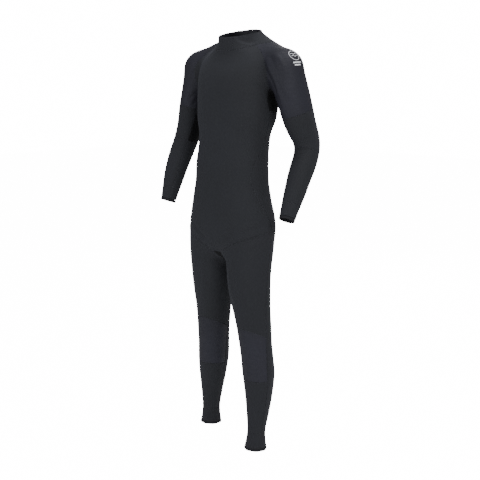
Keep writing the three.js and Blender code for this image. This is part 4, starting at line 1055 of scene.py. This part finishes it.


# dust sets how much painted sheen from above lies on upward-facing cloth
def jersey_look(dark, light, pitch=0.0009, dust=0.12, rough=(0.78, 0.9), depth=0.00025):
    def build(n, place, cloth):
        tone = n.add("Group", {"node_tree": TONE}, Place=place, Dark=dark, Light=light, Dust=dust)
        knit = n.add("Group", {"node_tree": KNIT}, Cloth=cloth, Place=place, Pitch=pitch)
        return tone[0], n.ranged(tone[1], 0, 1, *rough), knit[0], 0.55, depth
    return build


def skin_look(dark, light, rough=(0.36, 0.5)):
    """Smooth-skin foam: closed pores and faint streaks from the mould."""
    def build(n, place, cloth):
        tone = n.add("Group", {"node_tree": TONE}, Place=place, Dark=dark, Light=light, Dust=0.1)
        pores = n.add("TexVoronoi", {"feature": "SMOOTH_F1"}, Vector=place, Scale=900.0)[0]
        streaks = n.noise(n.add("Mapping", None, Vector=place, Scale=(40, 40, 240))[0], 1.0, 3.0)
        height = n.math("ADD", n.math("MULTIPLY", pores, 0.7), n.math("MULTIPLY", streaks, 0.6))
        return tone[0], n.ranged(streaks, 0.3, 0.7, *rough), height, 0.35, 0.0003
    return build


def thread_look(dark, light):
    def build(n, place, cloth):
        twist = n.add("TexWave", {"bands_direction": "DIAGONAL"},
                      Vector=place, Scale=900.0, Distortion=1.0)[1]
        return n.blend(twist, dark, light), None, twist, 0.5, 0.0002
    return build


def tape_look(dark, light):
    """Woven tape: a herringbone of warp and weft."""
    def build(n, place, cloth):
        p = n.add("SeparateXYZ", None, Vector=place)
        slant = n.math("PINGPONG", p[0], 0.002)
        weft = n.math("SINE", n.math("MULTIPLY", n.math("ADD", p[2], slant), 6283.0))
        warp = n.math("SINE", n.math("MULTIPLY", p[0], 7800.0))
        height = n.math("MULTIPLY", n.math("ADD", n.math("MULTIPLY", weft, warp), 1.0), 0.5)
        return n.blend(height, dark, light), None, height, 0.6, 0.0002
    return build


def metal_look(dark, light):
    """Dark coated metal, paler where handling rubbed it."""
    def build(n, place, cloth):
        rub = n.ranged(n.noise(place, 260.0, 5.0, 0.65), 0.48, 0.72, 0.0, 1.0)
        grain = n.noise(place, 2600.0, 2.0)
        return n.blend(rub, dark, light), n.ranged(rub, 0, 1, 0.42, 0.28), grain, 0.2, 0.0001
    return build


def pile_look(dark, light):
    """Hook and loop: a dense fuzz of little clumps."""
    def build(n, place, cloth):
        clumps = n.add("TexVoronoi", None, Vector=place, Scale=1100.0)[0]
        fuzz = n.noise(place, 3000.0, 3.0)
        height = n.math("ADD", clumps, fuzz)
        return n.blend(clumps, dark, light), None, height, 0.9, 0.0006
    return build


def print_look(light, worn):
    """Heat-pressed print that has taken the knit's texture and cracked a little."""
    def build(n, place, cloth):
        crack = n.ranged(n.noise(place, 700.0, 5.0, 0.75), 0.35, 0.5, 1.0, 0.0)
        knit = n.add("Group", {"node_tree": KNIT}, Cloth=place, Place=place, Pitch=0.0009)[0]
        return n.blend(n.math("MULTIPLY", crack, 0.4), light, worn), None, knit, 0.3, 0.0002
    return build


JERSEY = material("neoprene jersey", jersey_look(srgb(27, 28, 32), srgb(38, 39, 44)),
                  Sheen_Weight=0.04, Sheen_Roughness=0.5, Sheen_Tint=(0.7, 0.75, 1.0, 1.0))
SKIN = material("smooth skin foam", skin_look(srgb(27, 27, 35), srgb(38, 38, 49), rough=(0.6, 0.74)),
                specular=0.3)
# Gusset jersey: its own darker jersey, made darker still as painted shade for the hollows under the arms and
# at the crotch.
GUSSET_WITH_PAINTED_SHADE = material("gusset jersey darkened with painted shade", jersey_look(srgb(12, 12, 14), srgb(20, 20, 23), pitch=0.0012, dust=0.05),
                  specular=0.2)
BINDING = material("hem and strap jersey", jersey_look(srgb(22, 22, 26), srgb(33, 33, 38), pitch=0.0014))
THREAD_LOOK = material("sewing thread", thread_look(srgb(40, 41, 46), srgb(64, 65, 72)), roughness=0.6)
TAPE = material("zip tape", tape_look(srgb(12, 12, 14), srgb(28, 28, 32)), roughness=0.75)
COIL = material("zip coil", thread_look(srgb(16, 16, 18), srgb(30, 30, 34)), roughness=0.42)
METAL = material("coated metal", metal_look(srgb(52, 52, 56), srgb(120, 120, 126)), metallic=0.85)
PILE = material("hook and loop", pile_look(srgb(10, 10, 11), srgb(26, 26, 29)), roughness=0.95)
PRINT = material("shoulder print", print_look(srgb(238, 239, 243), srgb(150, 151, 158)), roughness=0.55)


# ---- Camera, light and floor ----

CAMERA_TURN, CAMERA_TILT = np.radians(42), np.radians(9.9)
CAMERA_DISTANCE, CAMERA_HEIGHT = 3.3, 1.3
LENS = 71.1
CAMERA_SHIFT = 1 / 60  # of the frame's width
AMBIENT, BACKDROP, GLOW = 0.35, 16.0, 15.0  # light of the room, and the whiteness of its wall and floor
FLOOR_DROP = 0.085  # the suit's wearer stands with bare feet below the ankle hems


def aimed(thing, place, target):
    thing.location = place
    thing.rotation_euler = (Vector(target) - Vector(place)).to_track_quat("-Z", "Y").to_euler()
    bpy.context.scene.collection.objects.link(thing)


def area_light(name, place, target, size, watts, colour):
    light = bpy.data.lights.new(name, "AREA")
    light.size = size
    light.energy = watts
    light.color = colour
    aimed(bpy.data.objects.new(name, light), place, target)


def set_up_studio():
    lens = bpy.data.cameras.new("camera")
    lens.lens = LENS
    lens.shift_x = CAMERA_SHIFT
    camera = bpy.data.objects.new("camera", lens)
    camera.location = (CAMERA_DISTANCE * np.sin(CAMERA_TURN), -CAMERA_DISTANCE * np.cos(CAMERA_TURN),
                       CAMERA_HEIGHT)
    camera.rotation_euler = (np.pi / 2 - CAMERA_TILT, 0, CAMERA_TURN)
    bpy.context.scene.collection.objects.link(camera)
    bpy.context.scene.camera = camera
    area_light("key", (3.4, -1.6, 3.0), (0, 0, 0.9), 1.6, 95, (1, 0.99, 0.97))
    area_light("fill", (-0.4, -3.8, 1.6), (0, 0, 0.8), 2.4, 45, (0.95, 0.97, 1))
    area_light("top", (0.5, 0.3, 3.6), (0, 0, 1.2), 1.6, 45, (0.96, 0.97, 1))
    area_light("back", (-1.8, 3.4, 2.4), (0, 0, 0.9), 2.0, 55, (1, 1, 1))
    world = bpy.data.worlds.new("studio")
    world.use_nodes = True
    n = Nodes(world.node_tree)
    seen = n.add("LightPath")[0]
    strength = n.ranged(seen, 0, 1, AMBIENT, BACKDROP)
    background = world.node_tree.nodes["Background"]
    background.inputs["Color"].default_value = (1, 1, 1, 1)
    world.node_tree.links.new(strength, background.inputs["Strength"])
    bpy.context.scene.world = world
    reach = 12000.0
    t = np.linspace(-reach, reach, 3)
    x, y = np.meshgrid(t, t)
    points = rows_of(x, y, -1000 * FLOOR_DROP).reshape(-1, 3)
    paper = material("studio paper", lambda n, place, cloth: (
        n.blend(n.noise(place, 0.4), srgb(246, 246, 247), srgb(252, 252, 252)),
        None, n.noise(place, 60.0), 0.05, 0.001),
        roughness=0.9)
    n = Nodes(paper.node_tree)
    shader = paper.node_tree.nodes["Principled BSDF"]
    shader.inputs["Emission Color"].default_value = (1, 1, 1, 1)
    paper.node_tree.links.new(n.math("MULTIPLY", n.add("LightPath")[0], GLOW),
                              shader.inputs["Emission Strength"])
    put("floor", points, [grid_faces(3, 3)], paper)


set_up_studio()

# ---- The suit ----


def ride_or_bend(piece, limb):
    """Pieces near an elbow or a knee get their transforms baked into their meshes; nothing bends them."""
    if limb == "arm":
        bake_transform(piece)
    else:
        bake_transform(piece)


def make_torso():
    panels = [foam_panel("front_panel", front_grid(), JERSEY), foam_panel("seat_panel", seat_grid(), JERSEY),
              foam_panel("crotch_gusset", crotch_grid(), GUSSET_WITH_PAINTED_SHADE)]
    for name, side in SIDES:
        panels.append(foam_panel("back_panel_" + name, back_grid(side), JERSEY))
        upper, lower = side_grids(side)
        panels.append(foam_panel("side_panel_upper_" + name, upper, JERSEY))
        panels.append(foam_panel("side_panel_lower_" + name, lower, JERSEY))
        panels.append(foam_panel("underarm_gusset_" + name, gusset_grid(side), GUSSET_WITH_PAINTED_SHADE))
    panels.append(foam_panel("collar_right", collar_grid(NECK_RING[:COLLAR_JOIN_COLUMN + 1]), JERSEY))
    panels.append(foam_panel("collar_left", collar_grid(NECK_RING[COLLAR_JOIN_COLUMN:]), JERSEY))
    for piece in panels:
        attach(piece, "suit")


def hem_band(node, rings, foam=FOAM):
    """A short folded band: the outer face bulges by sin and the fold is round at the free end."""
    t = steps(6)
    profile = np.sin(np.pi * (0.12 + 0.82 * t)) * 0.9
    outer = mix(rings[0][None], rings[1][None], t[:, None, None])
    centre = outer.mean(1, keepdims=True)
    radial = unit(outer - centre)
    points = np.concatenate([(outer + (profile[:, None, None] - 0.5) * radial), outer - foam * radial])
    return put(node + "_band", points.reshape(-1, 3), wall_faces(len(t), rings[0].shape[0], True), BINDING)


def fine_ring(ring):
    at = np.linspace(0, len(ring), 3 * len(ring) + 1)[:-1]
    return settled(spline_weights(len(ring), at, True) @ ring)


def make_sleeve(name, side):
    upper = upper_sleeve_rings(side)
    around = upper.shape[1]
    outer = around - 2 * UNDER
    lower = np.array([arm_ring(side, share, around) for share in mix(ELBOW, CUFF_TOP, steps(7))])
    made = [
        foam_panel("shoulder_panel_" + name, columns(upper[:SHOULDER_ROWS + 1], UNDER, outer), SKIN),
        foam_panel("upper_sleeve_" + name, columns(upper[SHOULDER_ROWS:], UNDER, outer), JERSEY),
        foam_panel("underarm_sleeve_" + name, columns(upper, -UNDER, 2 * UNDER), GUSSET_WITH_PAINTED_SHADE),
        foam_panel("forearm_outer_" + name, columns(lower, UNDER, outer), JERSEY),
        foam_panel("forearm_inner_" + name, columns(lower, -UNDER, 2 * UNDER), JERSEY),
    ]
    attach(made[0], "suit")
    for piece in made[1:]:
        ride_or_bend(piece, "arm")
    length = ARM_LINE[side][2]
    hem_top = WRIST - HEM / length
    rings = np.array([arm_ring(side, share, around) for share in mix(CUFF_TOP, hem_top, steps(2))])
    cuff = foam_panel("wrist_cuff_" + name, rings, JERSEY, closed=True)
    _, down, _, _ = arm_frame(side, WRIST)
    end = fine_ring(arm_ring(side, WRIST, around))
    hem = hem_band("wrist_hem_" + name, [end + (0.8 - HEM) * down, end])
    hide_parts("wrist_hem_" + name)
    for piece in (cuff, hem):
        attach(piece, "forearm_" + name)
    seams = [cross_stitches(columns(upper, k, 0)[:, 0]) for k in (UNDER, around - UNDER)]
    seams += [cross_stitches(columns(lower, k, 0)[:, 0]) for k in (UNDER, around - UNDER)]
    seams.append(cross_stitches(columns(upper[SHOULDER_ROWS:SHOULDER_ROWS + 1], UNDER, outer)[0]))
    closed = [np.vstack([ring, ring[:1]]) for ring in (lower[0], lower[-1])]
    seams += [cross_stitches(ring) for ring in closed]
    rows = [arm_ring(side, WRIST - k / length, around) for k in (HEM + 3.5, HEM + 7.5)]
    seams += [running_stitches(np.vstack([ring, ring[:1]])) for ring in rows]
    thread = sewn("sleeve_stitching_" + name, seams, THREAD_LOOK)
    ride_or_bend(thread, "arm")


def make_leg(name, side):
    half = LEG_AROUND // 2
    thigh = thigh_rings(side)
    knee = leg_rings(side, KNEE_Z, KNEE_PANEL_BOTTOM, 5, KNEE_SLOPE)
    shin = leg_rings(side, KNEE_PANEL_BOTTOM, ANKLE_CUFF_TOP, 5)
    below = np.vstack([knee, shin[1:]])
    made = [
        foam_panel("thigh_front_" + name, columns(thigh, 0, half), JERSEY),
        foam_panel("thigh_back_" + name, columns(thigh, half, half), JERSEY),
        foam_panel("knee_panel_" + name, columns(knee, 0, half), SKIN),
        foam_panel("calf_panel_" + name, columns(below, half, half), JERSEY),
    ]
    for piece in made:
        ride_or_bend(piece, "leg")
    lower = "lower_leg_" + name
    made.append(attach(foam_panel("shin_panel_" + name, columns(shin, 0, half), JERSEY), lower))
    rings = leg_rings(side, ANKLE_CUFF_TOP, HEM, 3)
    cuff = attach(foam_panel("ankle_cuff_" + name, rings, JERSEY, closed=True), lower)
    bands = [fine_ring(leg_ring(side, z)) for z in (HEM - 0.8, 0.0)]
    bands = [ring + relief(ring)[:, None] * outward(ring) * [1, 1, 0] for ring in bands]
    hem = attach(hem_band("ankle_hem_" + name, bands), lower)
    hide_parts("ankle_hem_" + name)
    seams = [cross_stitches(rings[:, k]) for rings in (thigh, below) for k in (0, half)]
    closed = [np.vstack([ring, ring[:1]]) for ring in (thigh[0], thigh[-1], shin[-1])]
    seams += [cross_stitches(ring) for ring in closed]
    seams.append(cross_stitches(columns(knee[-1:], 0, half)[0]))
    rows = [leg_ring(side, HEM + k) for k in (3.5, 7.5)]
    seams += [running_stitches(np.vstack([ring, ring[:1]])) for ring in rows]
    ride_or_bend(sewn("leg_stitching_" + name, seams, THREAD_LOOK), "leg")


def sew_torso():
    seams = []
    for _, side in SIDES:
        own = SHOULDER_SEAMS[side]
        for end in ("front", "back"):
            upper = SIDE_FRONT_UPPER if end == "front" else SIDE_BACK_UPPER
            lower = SIDE_FRONT_LOWER if end == "front" else np.vstack([SIDE_BACK_LOWER, SEAT_SIDE[1:]])
            torso = on_torso(mirrored(np.vstack([upper[1:], lower[1:]]), side))
            seams.append(cross_stitches(own["raglan_" + end][1]))
            seams.append(cross_stitches(np.vstack([own["side_" + end][1], torso])))
        seams += [cross_stitches(on_torso(mirrored(rows, side))) for rows in (GUSSET_BOTTOM, WAIST_SWING)]
        seams.append(cross_stitches(armpit_seam(side)))
        back = back_grid(side)
        seams.append(cross_stitches(back[-1]))
        seams.append(running_stitches(back[:, -1], 3.0 * side))
        seams.append(running_stitches(back[:, -1], 6.5 * side))
    collar = collar_grid(NECK_RING)
    seams += [cross_stitches(collar[0]), cross_stitches(collar[:, COLLAR_JOIN_COLUMN])]
    rim = on_torso(NECK_RING + np.column_stack([collar_height(NECK_RING[:, 1]) - 6,
                                                np.zeros(len(NECK_RING))]))
    seams += [running_stitches(rim), running_stitches(rim, 3.0)]
    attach(sewn("body_stitching", seams, THREAD_LOOK), "suit")


# ---- Zip, collar tab and badge ----

TAPE_DEPTH, TAPE_FACE, TAPE_EDGE, CHAIN_GAP, COIL_WIDTH, COIL_HEIGHT = 1.0, -6.4, 15.0, 0.9, 3.2, 2.2
STOP_LENGTH, PART_GAP = 5.0, 0.4
SLIDER_LENGTH, SLIDER_WIDTH, SLIDER_PLATE = 22.0, 12.0, 1.4
BRIDGE_OPENING, BRIDGE = 2.8, 1.2
PULL_DEPTH, PULL_LENGTH, PULL_WIDTH, EYE_WIDTH, EYE_LENGTH = 1.8, 34.0, 8.4, 5.2, 8.0
FLAP_WIDTH, FLAP_DEPTH, FLAP_FACE = 40.0, 2.0, -11.5
WIRE, COIL_PITCH = 0.42, 1.45
ZIP_LENGTH = (ZIP_TOP - ZIP_BOTTOM) * np.hypot(1, BACK_LEAN)
ZIP_UP = unit(np.array([0, BACK_LEAN, 1.0]))
ZIP_OUT = np.array([0, ZIP_UP[2], -ZIP_UP[1]])
COIL_FACE = TAPE_FACE + PART_GAP + COIL_HEIGHT
SLIDER_TOP = COIL_FACE + PART_GAP + SLIDER_PLATE
SLIDER_FOOT = TAPE_FACE - TAPE_DEPTH - PART_GAP - SLIDER_PLATE
TRAVEL_TOP = ZIP_LENGTH - STOP_LENGTH - PART_GAP - SLIDER_LENGTH / 2
TAB_ENDS, TAB_HEIGHT, TAB_DEPTH, PATCH_DEPTH, TAB_STEP_IN = (150, 224), 21, 2.2, 0.9, 4
BADGE_AIM = unit(np.array([0.8, -0.12, 0.52]))


def on_zip(across, out, up):
    """Points from distances across to the left, outward from the back line, and up along the zip."""
    across, out, up = np.broadcast_arrays(across, out, up)
    origin = np.array([0, back_line(ZIP_BOTTOM), ZIP_BOTTOM])
    return origin + across[..., None] * [1.0, 0, 0] + out[..., None] * ZIP_OUT + up[..., None] * ZIP_UP


def swept(section, ups):
    """A closed section [[across, out], ...] carried up the zip, with flat ends."""
    section = np.asarray(section, float)
    body = on_zip(section[None, :, 0], section[None, :, 1], ups[:, None])
    ends = [body[0].mean(0), body[-1].mean(0)]
    points = np.concatenate([body.reshape(-1, 3), ends])
    many = len(section)
    caps = end_fans(many, (len(ups) - 1) * many, (len(points) - 2, len(points) - 1))
    return points, [grid_faces(len(ups), many, True), caps]


def rounded_section(left, right, low, high, radius, count=6):
    """A rectangle with quarter-circle corners."""
    quarter = np.pi / 2 * steps(count)
    corners = [(right - radius, high - radius), (left + radius, high - radius),
               (left + radius, low + radius), (right - radius, low + radius)]
    return np.vstack([np.column_stack([x + radius * np.cos(quarter + k * np.pi / 2),
                                       y + radius * np.sin(quarter + k * np.pi / 2)])
                      for k, (x, y) in enumerate(corners)])


BLOCK_SIDES, BLOCK_RINGS = 28, 13


def soft_block(across, out, up, power=5.0):
    """A block with soft edges: a superellipsoid |x/a|^n + |y/b|^n + |z/c|^n = 1 over two angles."""
    u, v = np.meshgrid(2 * np.pi * steps(BLOCK_SIDES)[:-1], np.pi * (steps(BLOCK_RINGS - 1) - 0.5) * 0.998)
    direction = rows_of(np.cos(v) * np.cos(u), np.cos(v) * np.sin(u), np.sin(v))
    size = (np.abs(direction) ** power).sum(-1, keepdims=True) ** (-1 / power)
    half = [(b - a) / 2 for a, b in (across, out, up)]
    middle = [(b + a) / 2 for a, b in (across, out, up)]
    local = direction * size * half + middle
    points = on_zip(local[..., 0], local[..., 1], local[..., 2]).reshape(-1, 3)
    points = np.vstack([points, points[:BLOCK_SIDES].mean(0), points[-BLOCK_SIDES:].mean(0)])
    caps = end_fans(BLOCK_SIDES, (BLOCK_RINGS - 1) * BLOCK_SIDES, (len(points) - 2, len(points) - 1))
    return points, [grid_faces(BLOCK_RINGS, BLOCK_SIDES, True), caps]


def standing_for(piece, node, body):
    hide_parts(node)
    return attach(piece, body)


def coil_turns(side):
    """A nylon wire wound as a flattened helix up the zip."""
    low, high = STOP_LENGTH + PART_GAP + WIRE, ZIP_LENGTH - STOP_LENGTH - PART_GAP - WIRE
    turns = int((high - low) / COIL_PITCH)
    angle = 2 * np.pi * turns * steps(turns * 8)
    across = side * (CHAIN_GAP + COIL_WIDTH / 2 + (COIL_WIDTH / 2 - WIRE) * np.cos(angle))
    out = (TAPE_FACE + PART_GAP + COIL_FACE) / 2 + (COIL_HEIGHT / 2 - WIRE) * np.sin(angle)
    centre = on_zip(across, out, low + (high - low) * angle / angle[-1])
    tangent = unit(np.gradient(centre, axis=0))
    first = unit(np.cross(tangent, ZIP_UP))
    return tubes(centre[None], first[None], np.cross(first, tangent)[None], WIRE)


def make_zip():
    ups = np.linspace(0, ZIP_LENGTH, 120)
    for name, side in SIDES:
        edges = sorted((side * CHAIN_GAP, side * TAPE_EDGE))
        section = rounded_section(*edges, TAPE_FACE - TAPE_DEPTH, TAPE_FACE, 0.35)
        woven = put("zip_tape_%s_woven" % name, *swept(section, ups), TAPE)
        tape = standing_for(woven, "zip_tape_" + name, "suit")
        standing_for(put("zip_coil_%s_turns" % name, *coil_turns(side), COIL), "zip_coil_" + name, "suit")
        rail = sorted((side * CHAIN_GAP, side * (CHAIN_GAP + COIL_WIDTH)))
        stop = soft_block(rail, (TAPE_FACE + PART_GAP, COIL_FACE), (ZIP_LENGTH - STOP_LENGTH, ZIP_LENGTH))
        standing_for(put("zip_top_stop_%s_crimp" % name, *stop, METAL), "zip_top_stop_" + name, "suit")
    reach = CHAIN_GAP + COIL_WIDTH
    stop = soft_block((-reach, reach), (TAPE_FACE + PART_GAP, COIL_FACE), (0, STOP_LENGTH))
    standing_for(put("zip_bottom_stop_crimp", *stop, METAL), "zip_bottom_stop", "suit")
    flap_top = ZIP_LENGTH + NECK_BACK_Z + COLLAR_BACK_HEIGHT - ZIP_TOP
    section = rounded_section(-FLAP_WIDTH / 2, FLAP_WIDTH / 2, FLAP_FACE - FLAP_DEPTH, FLAP_FACE, 0.9)
    backing = put("zip_backing_flap_jersey", *swept(section, np.linspace(-4, flap_top, 100)), JERSEY)
    flap = standing_for(backing, "zip_backing_flap", "suit")


def make_slider():
    half = SLIDER_WIDTH / 2
    long = (TRAVEL_TOP - SLIDER_LENGTH / 2, TRAVEL_TOP + SLIDER_LENGTH / 2)
    top = SLIDER_TOP + BRIDGE_OPENING
    parts = [soft_block((-half, half), (SLIDER_TOP - SLIDER_PLATE, SLIDER_TOP), long, 7.0),
             soft_block((-half, half), (SLIDER_FOOT, SLIDER_FOOT + SLIDER_PLATE), long, 7.0),
             soft_block((-0.5, 0.5), (SLIDER_FOOT + 0.5, SLIDER_TOP - 0.5), long, 8.0)]
    # the bridge: a flat bar bent into an arch over the top plate
    t = np.pi * steps(24)
    arch_up = TRAVEL_TOP - 4.4 * np.sign(np.cos(t)) * np.abs(np.cos(t)) ** 0.5
    arch_out = SLIDER_TOP - 0.5 + (top + BRIDGE / 2 - SLIDER_TOP + 0.5) * np.abs(np.sin(t)) ** 0.5
    centre = on_zip(0 * t, arch_out, arch_up)
    tangent = unit(np.gradient(centre, axis=0))
    sideways = np.broadcast_to([1.0, 0, 0], centre.shape)
    outward_axis = np.cross(tangent, sideways)
    parts.append(tubes(centre[None], 2.6 * sideways[None], outward_axis[None], BRIDGE / 2, sides=12))
    standing_for(gathered("zip_slider_cast", parts, METAL), "zip_slider", "zip_slider")


def make_pull():
    """The pull tab: metal between the outline of its eye and its own, rounded at the rims."""
    pivot = on_zip(0.0, SLIDER_TOP + BRIDGE_OPENING / 2, TRAVEL_TOP)
    bar = PULL_DEPTH / 2
    outer = rounded_section(-PULL_WIDTH / 2, PULL_WIDTH / 2, bar - PULL_LENGTH, bar, 2.6, 9)
    inner = rounded_section(-EYE_WIDTH / 2, EYE_WIDTH / 2, -bar - EYE_LENGTH, -bar, 1.2, 9)
    s = np.array([0, 0.02, 0.06, 0.3, 0.5, 0.7, 0.94, 0.98, 1.0, 0.98, 0.94, 0.7, 0.5, 0.3, 0.06, 0.02])
    deep = np.array([0, 0.6, 0.9, 1, 1, 1, 0.9, 0.6, 0, -0.6, -0.9, -1, -1, -1, -0.9, -0.6]) * bar
    flat = inner[:, None] + (outer - inner)[:, None] * s[None, :, None]
    grip = 1 - 0.25 * (flat[..., 1] < -16) * (np.sin(flat[..., 1] * 2.2) > 0.2)
    points = pivot + rows_of(flat[..., 0], deep[None] * grip, flat[..., 1])
    many, around = points.shape[:2]
    loop = np.vstack([points.reshape(-1, 3), points[0]])
    faces = grid_faces(many + 1, around, True)
    faces = np.where(faces >= many * around, faces - many * around, faces)
    standing_for(put("zip_pull_cast", loop[:-around], [faces], METAL), "zip_pull", "zip_pull")


def on_collar(ends, low, high, foot, depth, rows=14):
    """A strip on the collar between two angles and heights: rounded edges, bulged face, flat foot."""
    columns_wide = int(abs(ends[1] - ends[0]) / 1.5)
    angle, height = np.meshgrid(mix(*ends, steps(columns_wide)), mix(low, high, steps(rows)))
    base = on_torso(rows_of(height, angle))
    normal = outward(base)
    v, u = (2 * t - 1 for t in np.meshgrid(steps(base.shape[0] - 1), steps(base.shape[1] - 1), indexing="ij"))
    rim = np.clip(1 - np.maximum(np.abs(u) ** 30, np.abs(v) ** 10), 0, 1) ** 0.5
    outer = base + (foot + depth * (0.35 + 0.65 * rim))[..., None] * normal
    inner = base + foot * normal
    points = np.concatenate([outer.reshape(-1, 3), inner.reshape(-1, 3)])
    return points, wall_faces(*base.shape[:2], False)


def make_collar_tab():
    high = NECK_BACK_Z + COLLAR_BACK_HEIGHT - TAB_STEP_IN
    low = high - TAB_HEIGHT
    patch = (190, TAB_ENDS[1] - 2)
    feet = [PART_GAP, 2 * PART_GAP + PATCH_DEPTH, 3 * PART_GAP + 2 * PATCH_DEPTH]
    pile = put("collar_loop_patch_pile", *on_collar(patch, low + 2, high - 2, feet[0], PATCH_DEPTH), PILE)
    loop = standing_for(pile, "collar_loop_patch", "suit")
    hook = standing_for(put("collar_tab_hook_patch_pile",
                            *on_collar(patch, low + 2, high - 2, feet[1], PATCH_DEPTH), PILE),
                        "collar_tab_hook_patch", "collar_tab")
    strap = put("collar_tab_strap", *on_collar(TAB_ENDS, low, high, feet[2], TAB_DEPTH), BINDING)
    tab = standing_for(strap, "collar_tab", "collar_tab")
    rows = []
    for angle in (TAB_ENDS[0] + 3, TAB_ENDS[0] + 8, TAB_ENDS[1] - 3, 190):
        rows.append(on_torso(rows_of(np.linspace(low + 2, high - 2, 5), float(angle))))
    for z in (low + 2, high - 2):
        rows.append(on_torso(rows_of(z, np.linspace(TAB_ENDS[0] + 3, TAB_ENDS[1] - 3, 16))))
    stitches = [running_stitches(row, lift=feet[2] + TAB_DEPTH) for row in rows]
    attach(sewn("collar_tab_stitching", stitches, THREAD_LOOK), "collar_tab")


def badge_spot(across, rise):
    """Points on the left shoulder at distances across and up from the middle of the badge."""
    aside = unit(np.array([0, 1.0, 0]) - BADGE_AIM[1] * BADGE_AIM)
    up = np.cross(BADGE_AIM, aside)
    middle = ARM_PATH[LEFT][0] + BADGE_AIM * ARM_SECTION[0, 1]
    return settled(middle + np.asarray(across)[..., None] * aside + np.asarray(rise)[..., None] * up, 12)


def printed(across, rise, width):
    """A printed line: a flat band carried along a path on the cloth."""
    centre = badge_spot(across, rise)
    normal = outward(centre)
    side = unit(np.cross(normal, unit(np.gradient(centre, axis=0))))
    centre = centre + (relief(centre) + 0.1)[:, None] * normal
    section = np.array([[-1, 0], [-0.8, 0.3], [0, 0.36], [0.8, 0.3], [1, 0], [0, -0.2]])
    points = (centre[:, None] + section[None, :, :1] * width / 2 * side[:, None]
              + section[None, :, 1:] * normal[:, None])
    many = len(section)
    ends = [points[0].mean(0), points[-1].mean(0)]
    flat = np.vstack([points.reshape(-1, 3), ends])
    caps = end_fans(many, (len(centre) - 1) * many, (len(flat) - 2, len(flat) - 1))
    return flat, [grid_faces(len(centre), many, True), caps]


def make_badge():
    turn = 2 * np.pi * steps(72)
    t = steps(40)
    parts = [printed(19.5 * np.cos(turn), 12.5 + 19.5 * np.sin(turn), 1.9)]
    for rise in (8, 17):
        parts.append(printed(mix(-13, 13, t), rise + 2.4 * np.sin(2 * np.pi * t * 1.5), 1.8))
    for rise, half in ((-15, 18), (-24, 14)):
        parts.append(printed(mix(-half, half, t), rise + 0 * t, 4.2))
    badge = gathered("shoulder_badge_print", parts, PRINT)
    standing_for(badge, "shoulder_badge_left", "suit")


make_zip()
make_slider()
make_pull()
make_collar_tab()
make_badge()
make_torso()
for side_name, side_sign in SIDES:
    make_sleeve(side_name, side_sign)
    make_leg(side_name, side_sign)
sew_torso()
